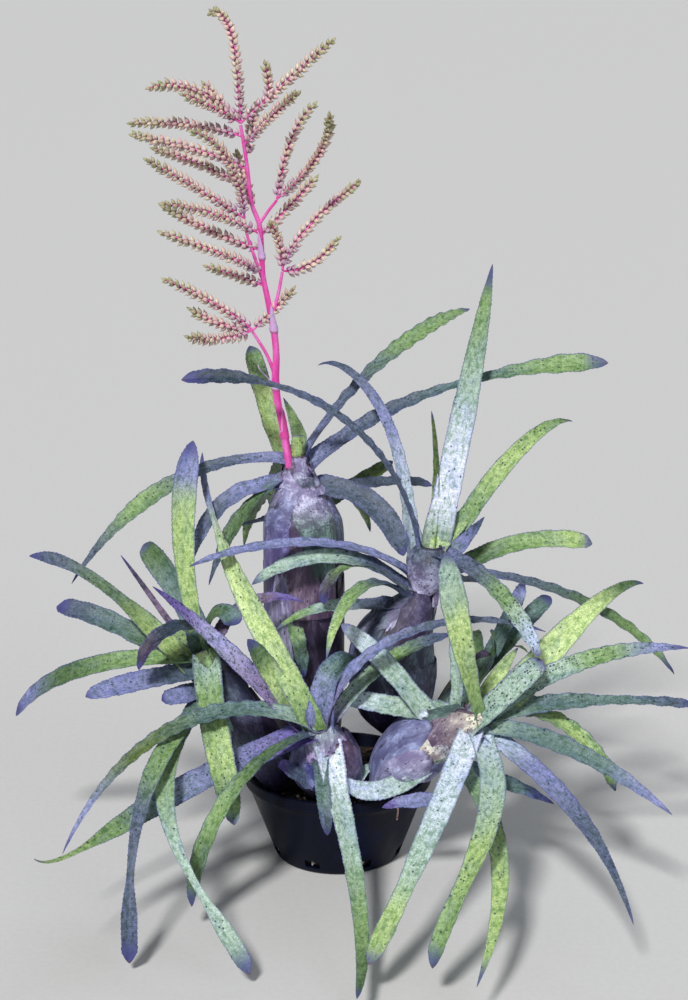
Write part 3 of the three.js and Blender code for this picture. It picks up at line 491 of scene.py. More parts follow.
CRUMB_LIGHT = (0.14, 0.10, 0.08)
BARKS = ((0.015, 0.008, 0.005), (0.09, 0.05, 0.03))
FLOOR_GREYS = ((0.60, 0.60, 0.60), (0.62, 0.62, 0.62))


def leaf_material():
    """Scurfy leaf skin: pale bloom in clouds and fine cross bands, worn to green, with dark specks."""
    n = Nodes("leaf_skin")
    along, across, chance = n.parts(n.attribute("leaf"))
    body = n.attribute("look")
    speckle = n.attribute("look", "Alpha")
    place = n.attribute("pat", "Vector")
    cloud = n.field(place, 0.09, 0.03, 3)
    mottle = n.field(place, 0.30, 0.15, 4, 0.65)
    grain = n.field(place, 1.3, 0.8, 3, 0.6)
    bands = n.field(place, 0.05, 0.75, 2)
    edge = n.step(n.from_middle(across), 0.42, 0.5)

    color = n.over(body, cloud, 0.47, 0.66, 0.6, n.pale(body, (0.66, 0.70, 0.9), (0.014, 0.016, 0.04)))
    color = n.over(color, mottle, 0.52, 0.36, 0.75, n.stretch(color, 0.38, 0.55, 0.42))
    dust = n.sum(grain, n.swing(bands, 0.6), n.swing(mottle, 0.9))
    color = n.over(color, dust, 0.47, 0.72, 0.8, n.pale(color, (1.5, 1.42, 1.6), (0.045, 0.05, 0.062)))
    color = n.over(color, grain, 0.46, 0.28, 0.85, n.stretch(color, 0.28, 0.34, 0.46))
    specks = n.spots(n.stretch(place, 0.38, 0.31), n.times(speckle, speckle))
    color = n.mix(n.times(specks, 0.85), color, LEAF_SPECK)
    # Blue-violet edges: partly the leaf's own margin colour, partly painted shade where the edge turns away
    # from the light.
    color = n.mix(n.times(edge, n.step(mottle, 0.36, 0.6, 0.3, 0.9)), color, LEAF_EDGE_TINT_AND_SHADE)
    reach = n.sum(along, n.swing(mottle, 0.12), n.times(chance, -0.04))
    color = n.over(color, reach, 0.885, 0.965, 0.85, LEAF_TIP)
    color = n.over(color, along, 0.985, 1.0, 0.7, DRY_TIP)
    ribs = n.field(place, 1.5, 0.03, 1)
    normal = n.bump(grain, 0.45, 0.0007, n.bump(ribs, 0.3, 0.0008))
    return n.finish(color, n.step(grain, 0.3, 0.8, 0.42, 0.64), normal, LEAF_GLOSS)


def base_material():
    """Leaf bases: veined and satin, with bloom, brown wear and dark torn edges."""
    n = Nodes("base_skin")
    along, across, _ = n.parts(n.attribute("leaf"))
    body = n.attribute("look")
    speckle = n.attribute("look", "Alpha")
    place = n.attribute("pat", "Vector")
    patch = n.field(place, 0.08, 0.05, 4, 0.6)
    mottle = n.field(place, 0.28, 0.2, 4, 0.65)
    grain = n.field(place, 1.1, 0.8, 3, 0.6)
    veins = n.field(place, 0.7, 0.02, 2)
    edge = n.step(n.from_middle(across), 0.44, 0.5)
    rim = n.step(along, 0.955, 1.0)

    color = n.over(n.stretch(body, 0.55, 0.5, 0.6), patch, 0.38, 0.62, 1.0, body)
    color = n.over(color, veins, 0.52, 0.72, 0.5, n.stretch(color, 0.45, 0.38, 0.45))
    bloom = n.sum(mottle, n.swing(patch, 0.9), n.times(speckle, 0.12))
    color = n.over(color, bloom, 0.54, 0.74, 0.75, n.pale(color, (1.7, 1.75, 1.6), (0.035, 0.04, 0.05)))
    color = n.over(color, grain, 0.42, 0.24, 0.75, n.stretch(color, 0.3, 0.3, 0.38))
    specks = n.spots(n.stretch(place, 0.4, 0.34), n.times(speckle, 0.8))
    color = n.mix(n.times(specks, 0.8), color, BASE_SPECK)
    worn = n.times(n.math("MAXIMUM", edge, rim), n.step(mottle, 0.35, 0.6, 0.35, 0.95))
    color = n.mix(worn, color, BASE_EDGE)
    normal = n.bump(grain, 0.4, 0.0006, n.bump(veins, 0.5, 0.0012))
    return n.finish(color, n.step(grain, 0.3, 0.8, 0.4, 0.62), normal, LEAF_GLOSS)


def stem_material():
    """Pink stem with a pale bloom, darker where its look says that a node is."""
    n = Nodes("stem_skin")
    place = n.attribute("pat", "Vector")
    patch = n.field(place, 0.12, 0.03, 3)
    grain = n.field(place, 0.9, 0.35, 3, 0.6)
    color = n.over(PINKS[0], patch, 0.35, 0.7, 1.0, PINKS[1])
    color = n.over(color, n.sum(grain, n.times(patch, 0.4)), 0.72, 0.95, 0.5, PINK_BLOOM)
    color = n.mix(n.attribute("look", "Alpha"), color, n.attribute("look"))
    return n.finish(color, 0.4, n.bump(grain, 0.3, 0.0005))


def bract_material():
    """Lavender paper with pink veins, and pink inside its edges as far as the leaf layer says."""
    n = Nodes("bract_paper")
    along, across, pink = n.parts(n.attribute("leaf"))
    place = n.attribute("pat", "Vector")
    veins = n.field(place, 1.1, 0.04, 1)
    patch = n.field(place, 0.25, 0.1, 3)
    color = n.over(PAPERS[0], patch, 0.35, 0.7, 1.0, PAPERS[1])
    color = n.over(color, veins, 0.52, 0.8, 0.45, PAPER_VEIN)
    color = n.over(color, along, 0.1, 0.0, 0.8, PAPER_FOOT)
    color = n.over(color, along, 0.8, 1.0, 0.6, PAPER_TIP)
    color = n.mix(n.times(pink, n.step(n.from_middle(across), 0.44, 0.34)), color, PAPER_PINK)
    return n.finish(color, 0.55, n.bump(veins, 0.5, 0.0006))


def flower_material():
    n = Nodes("flower_skin")
    tint = n.attribute("look")
    grain = n.field(n.attribute("pat", "Vector"), 0.7, 0.3, 3)
    color = n.over(tint, grain, 0.5, 0.3, 0.55, n.stretch(tint, 0.5, 0.4, 0.5))
    return n.finish(color, 0.42, n.bump(grain, 0.3, 0.0004))


# The materials below take their scales in features a metre

def pot_material():
    n = Nodes("pot_plastic")
    place = n.object_place()
    dust = n.noise(n.stretch(place, 1, 1, 0.35), 34, 5, 0.65)
    fine = n.noise(place, 260, 3)
    color = n.over(PLASTICS[0], dust, 0.45, 0.75, 1.0, PLASTICS[1])
    color = n.over(color, fine, 0.68, 0.8, 0.3, PLASTIC_DUST)
    return n.finish(color, n.step(dust, 0.3, 0.7, 0.40, 0.58), n.bump(fine, 0.15, 0.0005), POT_GLOSS)


def soil_material():
    n = Nodes("mix_crumb")
    place = n.object_place()
    fine = n.noise(place, 400, 4, 0.6)
    color = n.over(CRUMBS[0], n.noise(place, 90, 5, 0.65), 0.35, 0.7, 1.0, CRUMBS[1])
    color = n.over(color, fine, 0.64, 0.8, 0.5, CRUMB_LIGHT)
    return n.finish(color, 0.95, n.bump(fine, 0.8, 0.001))


def bark_material():
    n = Nodes("bark_chips")
    grain = n.noise(n.stretch(n.object_place(), 1, 1, 3), 160, 4, 0.6)
    color = n.over(BARKS[0], grain, 0.35, 0.7, 1.0, BARKS[1])
    return n.finish(color, 0.9, n.bump(grain, 0.8, 0.0012))


def grainy_material(name, dark, pale):
    n = Nodes(name)
    grain = n.noise(n.object_place(), 150, 4, 0.6)
    color = n.over(dark, grain, 0.35, 0.7, 1.0, pale)
    return n.finish(color, 0.75, n.bump(grain, 0.5, 0.0008))


def floor_material():
    n = Nodes("floor_paint")
    grain = n.noise(n.object_place(), 160, 2)
    return n.finish(n.over(FLOOR_GREYS[0], grain, 0.3, 0.7, 1.0, FLOOR_GREYS[1]), 0.9)


# Meshes

PLAIN_LEAF = (0, 0.5, 0, 1)
NO_LOOK = (0, 0, 0, 0)


class Mesh:
    """Collects closed strips of rings, with a place and a look at each point."""

    def __init__(self):
        self.points = []
        self.faces = []
        self.slots = []
        self.pat = []
        self.leaf = []
        self.look = []

    def point(self, co, pat=(0, 0, 0), leaf=PLAIN_LEAF, look=NO_LOOK):
        """Adds a point. Its leaf layer holds its shares along and across, and a value of the leaf's own."""
        self.points.append((co[0] * MM, co[1] * MM, co[2] * MM))
        self.pat.append(pat)
        self.leaf.append(leaf)
        self.look.append(look)
        return len(self.points) - 1

    def face(self, *corners, slot=0):
        """A face of the corners that differ, where there are three at least."""
        corners = list(dict.fromkeys(corners))
        if len(corners) > 2:
            self.faces.append(corners)
            self.slots.append(slot)

    def walls(self, rings, slot=0, keep=lambda row, k: True):
        """Quads between rings of one length. A ring may hold one point many times."""
        count = len(rings[0])
        for i, (here, there) in enumerate(zip(rings, rings[1:])):
            for k in range(count):
                if keep(i, k):
                    j = (k + 1) % count
                    self.face(here[k], here[j], there[j], there[k], slot=slot)

    def skin(self, rings, slot=0, zip_ends=False):
        """Closed skin of rings. The last may be one point, a tip; other ends are capped or zipped up."""
        count = len(rings[0])
        rings = [ring * count if len(ring) == 1 else ring for ring in rings]
        self.walls(rings, slot)
        for ring in (rings[0], rings[-1]):
            if not zip_ends:
                self.face(*ring, slot=slot)
                continue
            for k in range(count // 2):
                self.face(ring[k], ring[k + 1], ring[(count - k - 1) % count], ring[(count - k) % count],
                          slot=slot)

    def build(self, name, materials, slot_name, *nodes, sharp=50):
        mesh = bpy.data.meshes.new(name)
        mesh.from_pydata(self.points, [], self.faces)
        for material in materials:
            mesh.materials.append(material)
        mesh.polygons.foreach_set("material_index", self.slots)
        mesh.polygons.foreach_set("use_smooth", [True] * len(self.faces))
        vector = mesh.attributes.new("pat", "FLOAT_VECTOR", "POINT")
        vector.data.foreach_set("vector", [x for row in self.pat for x in row])
        for key, rows in (("leaf", self.leaf), ("look", self.look)):
            layer = mesh.attributes.new(key, "FLOAT_COLOR", "POINT")
            layer.data.foreach_set("color", [x for row in rows for x in row])
        mesh.update()
        turn_outwards(mesh)
        mesh.set_sharp_from_angle(angle=math.radians(sharp))
        obj = bpy.data.objects.new(name, mesh)
        bpy.context.collection.objects.link(obj)
        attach(obj, "root")
        if nodes:
            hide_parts(*nodes)


def turn_outwards(mesh):
    """Turns every closed shell's faces outwards."""
    bm = bmesh.new()
    bm.from_mesh(mesh)
    bmesh.ops.recalc_face_normals(bm, faces=bm.faces)
    bm.to_mesh(mesh)
    bm.free()


class ShellRing:
    """One ring of a thin closed shell: an upper and a lower row of points that meet at both edges."""

    def __init__(self, mesh):
        self.mesh = mesh
        self.top = []
        self.low = []

    def add(self, u, edge, above, below, *layers):
        """u goes from 1 to -1 across the ring. Only the edge's point is used where it is 1 or -1."""
        if abs(u) == 1:
            self.top.append(self.mesh.point(edge, *layers))
            return
        self.top.append(self.mesh.point(above, *layers))
        self.low.append(self.mesh.point(below, *layers))

    def points(self):
        return self.top + self.low[::-1]


def shares_across(count):
    return [1 - 2 * j / count for j in range(count + 1)]


# Curves

def frame_at(course, share, roll):
    """Direction of travel, upper face and side of a blade or spike at a share of its length."""
    compass, turn, rise, fall, bow = course
    heading = level(compass + turn * share)
    slope = math.radians(rise + (fall - rise) * share ** bow)
    along = heading * math.cos(slope) + UP * math.sin(slope)
    plain_upper = heading * -math.sin(slope) + UP * math.cos(slope)
    plain_side = along.cross(plain_upper)
    turned = math.radians(roll)
    upper = plain_upper * math.cos(turned) + plain_side * math.sin(turned)
    return along, upper, along.cross(upper)


def midline(start, course, length, steps):
    points = [Vector(start)]
    for k in range(steps):
        points.append(points[-1] + frame_at(course, (k + 0.5) / steps, 0)[0] * (length / steps))
    return points


def midline_at(start, course, length, steps, coarse):
    """Middle points in fine steps, shifted so that they end where the solid's coarse steps do."""
    fine = midline(start, course, length, steps)
    miss = midline(start, course, length, coarse)[-1] - fine[-1]
    return [p + miss * (k / steps) for k, p in enumerate(fine)]


def along_points(points, share):
    place = min(max(share, 0), 1) * (len(points) - 1)
    k = min(int(place), len(points) - 2)
    return points[k].lerp(points[k + 1], place - k)


def slopes_of(widths):
    """Slopes at the outline's shares that keep the curve from overshooting its widths."""
    rates = [(widths[k + 1] - widths[k]) / (OUTLINE_SHARES[k + 1] - OUTLINE_SHARES[k])
             for k in range(len(widths) - 1)]
    slopes = [0.0]
    for before, after in zip(rates, rates[1:]):
        slopes.append(2 * before * after / (before + after) if before * after > 0 else 0.0)
    return slopes


SLOPES = {key: slopes_of(widths) for key, widths in OUTLINES.items()}


def outline_at(share, outline):
    """Share of the full width: a smooth curve through the outline's widths, pointed at the end."""
    widths, slopes = OUTLINES[outline], SLOPES[outline]
    k = max(i for i, value in enumerate(OUTLINE_SHARES[:-1]) if share >= value)
    span = OUTLINE_SHARES[k + 1] - OUTLINE_SHARES[k]
    t = (share - OUTLINE_SHARES[k]) / span
    if k == len(widths) - 2:
        return widths[k] * (1 - t) ** 0.8 * (1 + 0.35 * t)
    a, b = widths[k], widths[k + 1]
    return ((2 * t ** 3 - 3 * t * t + 1) * a + (t ** 3 - 2 * t * t + t) * span * slopes[k]
            + (3 * t * t - 2 * t ** 3) * b + (t ** 3 - t * t) * span * slopes[k + 1])


def look_at(look, share):
    """Colour and speckle of a look, blended between its letters."""
    tints, speckle = [PALETTE[letter] for letter in look[:-1]], int(look[-1]) / 9
    shares = LOOK_SHARES[len(tints)]
    if share <= shares[0]:
        return (*tints[0], speckle)
    for k in range(len(tints) - 1):
        if share <= shares[k + 1]:
            return (*tint_mix(tints[k], tints[k + 1], smooth(shares[k], shares[k + 1], share)), speckle)
    return (*tints[-1], speckle)


# Blades

LEAF_STEP = 2.3
SOLID_STEP = 32
LEAF_ACROSS = 8
THICK_FOOT = 2.0
THICK_TIP = 0.75
CHANNEL = 0.15
CHANNEL_FOOT = 0.34
BLADE_SPRING = 6
BLADE_CLASP = 0.04
FLARE = 0.16
WAVE_LENGTHS = (14, 27)
WAVE_SIZES = (0.4, 1.3)
TOOTH_SMALL = 0.35
TOOTH_MORE = 0.9
TIP_SHARES = (0.45, 0.75, 0.93)


def blade(m, start, row, seed, leaves_at=BLADE_CLASP, flare=FLARE):
    """A channelled strap leaf with waved, toothed edges and a keel."""
    length, course = row.length, row[:5]
    steps = max(12, round(length / LEAF_STEP))
    points = midline_at(start, course, length, steps, max(4, round(length / SOLID_STEP)))
    draw = random.Random(seed)
    chance = draw.random()
    wave_length = draw.uniform(*WAVE_LENGTHS)
    wave_size = draw.uniform(*WAVE_SIZES)
    phases = (draw.uniform(0, TURN), draw.uniform(0, TURN))
    shift = seed * 61.7
    shares = [k / steps for k in range(steps)] + [1 - (1 - t) / steps for t in TIP_SHARES]
    rings = []
    for k, share in enumerate(shares):
        tones = look_at(row.look, share + 0.06 * wobble(share * 5, shift, 8.0))
        loose = smooth(0.1, 0.5, share)
        wag = 7 * wobble(share * 3.5, shift, 0.3) * loose
        along, upper, side = frame_at(course, share, row.lean + row.twist * share + wag)
        centre = along_points(points, share)
        centre = centre + side * (1.3 * wobble(share * 4, shift, 5.0) * loose * (1 - share))
        uneven = 1 + 0.05 * wobble(share * 7, shift, 2.1) + 0.05 * wobble(share * length / 11, shift, 9.4)
        clasp = 1 - smooth(leaves_at, leaves_at + 0.13, share)
        half = row.width / 2 * outline_at(share, row.outline) * uneven * (1 + flare * clasp)
        slender = min(1, half / 6)
        channel = lerp(CHANNEL, CHANNEL_FOOT, clasp)
        thick = lerp(THICK_FOOT, THICK_TIP, share)
        tooth = 0.0
        if k % 2 and share < 0.97:
            tooth = TOOTH_SMALL + TOOTH_MORE * abs(wobble(k * 1.7, shift, 7.0))
        ring = ShellRing(m)
        for u in shares_across(LEAF_ACROSS):
            rim = abs(u) ** 4
            phase = phases[0] if u > 0 else phases[1]
            ripple = wave_size * rim * math.sin(TURN * share * length / wave_length + phase)
            ripple *= smooth(0.08, 0.3, share) * min(1, half / 8)
            rise_up = 2 * half * channel * abs(u) ** 1.7 + ripple
            reach = u * half + (math.copysign(tooth, u) * slender if rim == 1 else 0)
            middle = centre + side * reach + upper * rise_up + along * (0.7 * tooth * rim)
            body = thick / 2 * (1 - 0.75 * u * u) + 0.05
            keel = 0.5 * math.exp(-(u / 0.16) ** 2) * slender
            ring.add(u, middle, middle + upper * (body - keel * 0.6), middle - upper * (body + keel * 0.3),
                     (u * half, share * length, shift), (share, (u + 1) / 2, chance, 1), tones)
        rings.append(ring.points())
    tones = look_at(row.look, 1 + 0.06 * wobble(5, shift, 8.0))
    rings.append([m.point(points[-1], (0, length, shift), (1, 0.5, chance, 1), tones)])
    m.skin(rings, zip_ends=True)


# Tanks

TANK_AROUND = 44
TANK_ALONG = 46
BASE_ALONG = 24
BASE_ACROSS = 14
BASE_SLOT = 1
# Looks of the tank bodies, foot letter first: on most they are darker towards the foot ('u', 'o'), painted
# shade low in the clump under the leaves, strongest on rosette a's tube; the other letters give each
# rosette's own tone.
TANK_LOOKS = {
    "rosette_a": "um4", "rosette_b": "uk4", "rosette_c": "lm4", "rosette_d": "ul3", "rosette_e": "us4",
    "rosette_f": "ok3",
}
# Near-black look of the hollow at a tank's top: painted shade inside the recess.
CUP_SHADE_LOOK = "kk3"
# The cup at a tank's top: shares of its radius, and depths
CUP_RINGS = ((0.8, 0.5), (0.68, 5), (0.5, 10))
CUP_DEPTH = 11
# Letters of the bases where blades leave a tank, if they aren't the blade's own first
EXIT_LOOKS = {"rosette_a": "sL", "rosette_b": "Ls"}
# A blade that starts this far under its crown gets a base of its own where it leaves the tank
LOW_START = 20
# How each kind of base widens: part of a half wave that it follows, and its power
BASE_WAVES = {
    "point": (0.22, 0.985, 0.75), "cup": (0.06, 0.84, 0.6), "round": (0.3, 0.97, 0.55),
    "band": (0.3, 0.7, 0.5),
}


class Tank:
    """A smooth body through the rings of a tank, with level sections at its foot."""

    def __init__(self, rings):
        self.rings = rings

    def raw(self, k):
        ring = self.rings[max(0, min(len(self.rings) - 1, k))]
        return Vector(ring[:3]), ring[3]

    def at(self, t):
        place = min(max(t, 0), 1) * (len(self.rings) - 1)
        k = min(int(place), len(self.rings) - 2)
        s = place - k
        (p0, r0), (p1, r1), (p2, r2), (p3, r3) = (self.raw(k + i) for i in (-1, 0, 1, 2))
        radius = catmull(r0, r1, r2, r3, s)
        radius = max(min(r1, r2) * 0.96, min(max(r1, r2) * 1.04, radius))
        centre = catmull(p0, p1, p2, p3, s)
        lean = (p2 - p1).lerp((p3 - p2) if p3 != p2 else (p2 - p1), s * 0.5).normalized()
        lean = UP.lerp(lean, smooth(95, 135, centre.z)).normalized()
        right = (EAST - lean * lean.x).normalized()
        return centre, radius, right, lean.cross(right)

    def ray(self, t, compass):
        """Centre, radius and outward direction."""
        centre, radius, right, back = self.at(t)
        a = math.radians(compass)
        return centre, radius, right * math.cos(a) + back * math.sin(a)

    def around(self, t, compass, lift):
        centre, radius, out = self.ray(t, compass)
        return centre + out * (radius + lift)

    def length(self):
        return sum((self.raw(k + 1)[0] - self.raw(k)[0]).length for k in range(len(self.rings) - 1))


def tank_body(m, tank, seed, look):
    """The closed body under the leaf bases, with a hollow at its top that holds water."""
    size = tank.length()
    turns = [360 * k / TANK_AROUND for k in range(TANK_AROUND)]
    shift = seed * 3.3
    rings = []
    for i in range(TANK_ALONG + 1):
        t = i / TANK_ALONG
        ring = []
        for compass in turns:
            a = math.radians(compass)
            bump = 1.1 * wobble(2.2 * math.cos(a), 2.2 * math.sin(a), t * size / 22 + seed)
            bump += 0.5 * wobble(9 * math.cos(a), 9 * math.sin(a), t * size / 90 + seed)
            ring.append(m.point(tank.around(t, compass, bump - 0.8), (tank.at(t)[1] * a, t * size, shift),
                                (t * 0.9, 0.5, 0.25, 1), look_at(look, t)))
        rings.append(ring)
    centre, radius, right, back = tank.at(1)
    inward = right.cross(back)
    cup = ((0.9, 0.5, 0.25, 1), look_at(CUP_SHADE_LOOK, 1))
    for share, depth in CUP_RINGS:
        rings.append([m.point(tank.around(1, compass, radius * (share - 1)) - inward * depth,
                              (k, size + depth, shift), *cup) for k, compass in enumerate(turns)])
    rings.append([m.point(centre - inward * CUP_DEPTH, (0, size + 20, shift), *cup)])
    m.skin(rings, BASE_SLOT)


def base(m, tank, compass, start, end, spread, low, high, kind, look, seed, top_half=None):
    """A leaf base that clasps the tank, as a thin closed shell."""
    chance = random.Random(seed).random()
    size = tank.length()
    wave_from, wave_to, power = BASE_WAVES[kind]
    ragged = 1.6 if kind == "cup" else 1
    rings = []
    for i in range(BASE_ALONG + 1):
        v = i / BASE_ALONG
        radius = max(4, tank.at(lerp(start, end, v))[1])
        wide = math.sin(math.pi * lerp(wave_from, wave_to, v)) ** power * spread
        if top_half is not None:
            wide = max(wide, math.degrees(min(1.2, top_half / radius)) * smooth(0.5, 1, v))
        rough = 1 + ragged * (0.04 * wobble(v * 9, seed, 1.0) + 0.03 * wobble(v * 31, seed, 4.0))
        raise_by = 0.4 + lerp(low, high, smooth(0, 1, v))
        ring = ShellRing(m)
        for u in shares_across(BASE_ACROSS):
            slip = 0.02 * ragged * wobble(u * 4, seed, 6.0) * (1 - v if kind == "cup" else v)
            centre, tank_radius, out = tank.ray(lerp(start, end, v) + slip, compass + u * wide * rough)
            crest = raise_by * (1 - 0.6 * abs(u) ** 3) + 0.5 * wobble(u * 2.5, v * 5, seed * 1.9)
            lifts = (crest - 0.2, crest, crest - 0.9 - 0.6 * (1 - u * u))
            ring.add(u, *(centre + out * (tank_radius + lift) for lift in lifts),
                     (math.radians(u * wide) * radius, v * (end - start) * size, seed * 17.1),
                     (v, (u + 1) / 2, chance, 1), look_at(look, v + 0.12 * wobble(u * 2, v * 3, seed + 3)))
        rings.append(ring.points())
    m.skin(rings, BASE_SLOT, zip_ends=True)


def way_out(tank, start, row, steps=60, stops=40):
    """Where a blade leaves its tank: place along the tank, compass, and share of the blade."""
    stations = [tank.at(i / stops) for i in range(stops + 1)]
    best = (1, row.compass, 0)
    for k, point in enumerate(midline(start, row[:5], row.length, steps)):
        gaps = [abs((centre - point).dot(right.cross(back))) for centre, radius, right, back in stations]
        near = gaps.index(min(gaps))
        centre, radius, right, back = stations[near]
        off = point - centre
        east, north = off.dot(right), off.dot(back)
        best = (near / stops, math.degrees(math.atan2(north, east)), k / steps)
        if math.hypot(east, north) > radius - 1.5 or gaps[near] > 6:
            break
    return best


def rosette(name, tank_rings, crown, axis, rows):
    m = Mesh()
    tank = Tank(tank_rings)
    seed = 10 * ("abcdef".index(name[-1]) + 1)
    tank_body(m, tank, seed, TANK_LOOKS[name])
    for k, row in enumerate(BASES[name]):
        base(m, tank, *row, seed + 0.13 + k)
    for k, row in enumerate(Blade(*values) for values in rows):
        start = Vector(crown) - Vector(axis).normalized() * row.below + level(row.compass) * BLADE_SPRING
        t, compass, leaves_at = way_out(tank, start, row)
        blade(m, start, row, seed + 0.31 + k, leaves_at)
        if row.below >= LOW_START:
            look = EXIT_LOOKS.get(name, row.look[0] * 2) + row.look[-1]
            base(m, tank, compass, max(0, t - 0.24), min(1, t + 0.04), 44, 0.6, 2.8, "point", look,
                 seed + 0.77 + k, top_half=row.width * 0.5)
    for k, (start, *course, look) in enumerate(LOW_LEAVES.get(name, [])):
        blade(m, Vector(start), Blade(*course, 0, look), seed + 0.53 + k, flare=0)
    m.build(name + "_fine", [leaf_skin, base_skin], "leaf", name)


# Flower stem and bracts

STEM_SIDES = 20
NODE_TINT = (0.42, 0.06, 0.22)


def smooth_path(rings, per=8):
    """Smooth curve through rings [x, y, z, radius]."""
    out = []
    for k in range(len(rings) - 1):
        p = [rings[max(0, min(len(rings) - 1, k + i))] for i in (-1, 0, 1, 2)]
        for j in range(per):
            out.append([catmull(*values, j / per) for values in zip(*p)])
    out.append(list(rings[-1]))
    return out


def tube(m, path, sides, seed, slot=0, rough=0.0, nodes=()):
    """A closed tube along rings [x, y, z, radius], swollen and darker at the heights of its nodes."""
    rings = []
    run = 0.0
    for k, (x, y, z, radius) in enumerate(path):
        centre = Vector((x, y, z))
        before, after = Vector(path[max(0, k - 1)][:3]), Vector(path[min(len(path) - 1, k + 1)][:3])
        lean = (after - before).normalized()
        right = EAST - lean * lean.x
        if right.length < 0.2:
            right = Vector((0, 1, 0)) - lean * lean.y
        right.normalize()
        back = lean.cross(right)
        run += (centre - before).length
        swell = sum(0.14 * math.exp(-((z - height) / 3.0) ** 2) for height in nodes)
        dark = max((math.exp(-((z - height) / 1.6) ** 2) for height in nodes), default=0)
        look = (*NODE_TINT, 0.7 * dark) if nodes else NO_LOOK
        ring = []
        for j in range(sides):
            a = TURN * j / sides
            r = radius * (1 + swell + rough * wobble(2 * math.cos(a), 2 * math.sin(a), run / 4 + seed))
            ring.append(m.point(centre + (right * math.cos(a) + back * math.sin(a)) * r,
                                (a * radius, run, seed), (k / len(path), j / sides, 0.5, 1), look))
        rings.append(ring)
    m.skin(rings, slot)


def flower_stem():
    m = Mesh()
    nodes = [row[0] for row in BRACTS.values()]
    for k, rings in enumerate(SCAPE.values()):
        tube(m, smooth_path(rings), STEM_SIDES, k * 7.3, rough=0.05, nodes=nodes)
    m.build("flower_stem_fine", [stem_skin], "flower_stem", "flower_stem")


BRACT_ALONG = 30
BRACT_ACROSS = 12
BRACT_HALF_THICK = 0.25
BRACT_WRAP = 172


def bract(name, row, seed, pink):
    """A thin papery bract that wraps a node of the flower stem and opens to a long point."""
    height, compass, rise, length, width = row
    slope = math.radians(rise)
    main = smooth_path(SCAPE["main"], 12)
    m = Mesh()
    rings = []
    for i in range(BRACT_ALONG + 1):
        v = i / BRACT_ALONG
        z = height - 3 + v * length * math.sin(slope)
        x, y, _, radius = min(main, key=lambda ring: abs(ring[2] - z))
        away = level(compass) * (smooth(0.1, 1, v) ** 1.3 * length * math.cos(slope))
        tongue = math.degrees(min(1.3, width * 0.5 * (1 - v) ** 0.7 / (radius + 1)))
        spread = max(tongue, BRACT_WRAP * (1 - smooth(0.04, 0.4, v)))
        ring = ShellRing(m)
        for u in shares_across(BRACT_ACROSS):
            shell = radius + 0.7 + 0.9 * v + 0.3 * wobble(u * 3, v * 6, seed)
            ragged = 1.4 * wobble(u * 6, seed, 3.0) * v
            centre, out = Vector((x, y, z + ragged)) + away, level(compass + u * spread)
            lifts = (0, BRACT_HALF_THICK, -BRACT_HALF_THICK)
            ring.add(u, *(centre + out * (shell + lift) for lift in lifts),
                     (math.radians(u * spread) * shell, v * length, seed * 9.1), (v, (u + 1) / 2, pink, 1))
        rings.append(ring.points())
    m.skin(rings, zip_ends=True)
    m.build(name + "_fine", [bract_paper], "bract", name)


# Spikes: flowers follow each other at a pitch, on four sides in turn

FLOWER_PITCH = 1.7
FLOWER_SIDES = (0, 100, 180, 265)
STALK_LENGTH = 5
STALK_RADII = (1.15, 0.5)
STALK_SIDES = 8
BUD_SIZE = (7.6, 2.25)
END_BUD_SIZE = (6.5, 1.8)
SCALE_SIZE = (4.2, 3.2)
BUD_SIDES = 8
# Shares of a bud's length and radius, and of a scale's length and width
BUD_PROFILE = ((0, 0.34), (0.12, 0.7), (0.28, 0.96), (0.44, 1), (0.62, 0.84), (0.8, 0.48), (0.92, 0.2))
SCALE_PROFILE = ((0, 0.7), (0.3, 1), (0.65, 0.7))
ROSE = (0.36, 0.075, 0.22)
LILAC = (0.50, 0.30, 0.56)
CREAM = (0.80, 0.70, 0.52)
BLUSH = (0.78, 0.40, 0.50)
GREEN = (0.27, 0.36, 0.12)
HUSK = (0.25, 0.10, 0.10)


def bud(m, start, along, outer, length, radius, draw, green, lilac=0.0):
    """A closed flower: a plump ovary and calyx that narrows to a sharp point."""
    side = along.cross(outer).normalized()
    outer = side.cross(along).normalized()
    chance = draw.random()
    shift = draw.uniform(0, 90)
    body = tint_mix(tint_mix(CREAM, BLUSH, draw.uniform(0.0, 0.7)), GREEN, green * 0.75)
    body = tint_mix(body, LILAC, lilac * draw.uniform(0.3, 0.9))
    rings = []
    for v, wide in BUD_PROFILE:
        color = tint_mix(tint_mix(ROSE, GREEN, green * 0.7), body, smooth(0.05, 0.42, v))
        color = tint_mix(color, GREEN, smooth(0.7, 1.0, v) * (0.2 + 0.6 * green))
        centre = start + along * (v * length) - outer * (0.05 * length * math.sin(math.pi * v * 0.9))
        ring = []
        for j in range(BUD_SIDES):
            a = TURN * j / BUD_SIDES
            lobe = math.cos(3 * a)
            r = radius * wide * (1 + 0.12 * lobe * smooth(0.2, 0.7, v))
            # Painted shade: darker towards husk brown in the grooves between the sepals.
            painted_groove_shade = tint_mix(color, HUSK, 0.45 * max(0, -lobe) * smooth(0.1, 0.5, v))
            out = outer * math.cos(a) + side * math.sin(a)
            ring.append(m.point(centre + out * r, (a * radius, v * length, shift),
                                (v, j / BUD_SIDES, chance, 1), (*painted_groove_shade, 1)))
        rings.append(ring)
    tip_color = tint_mix(GREEN, HUSK, draw.uniform(0.2, 0.9))
    rings.append([m.point(start + along * length * 1.12 + outer * 0.3, (0, length, shift),
                          (1, 0, chance, 1), (*tip_color, 1))])
    m.skin(rings)


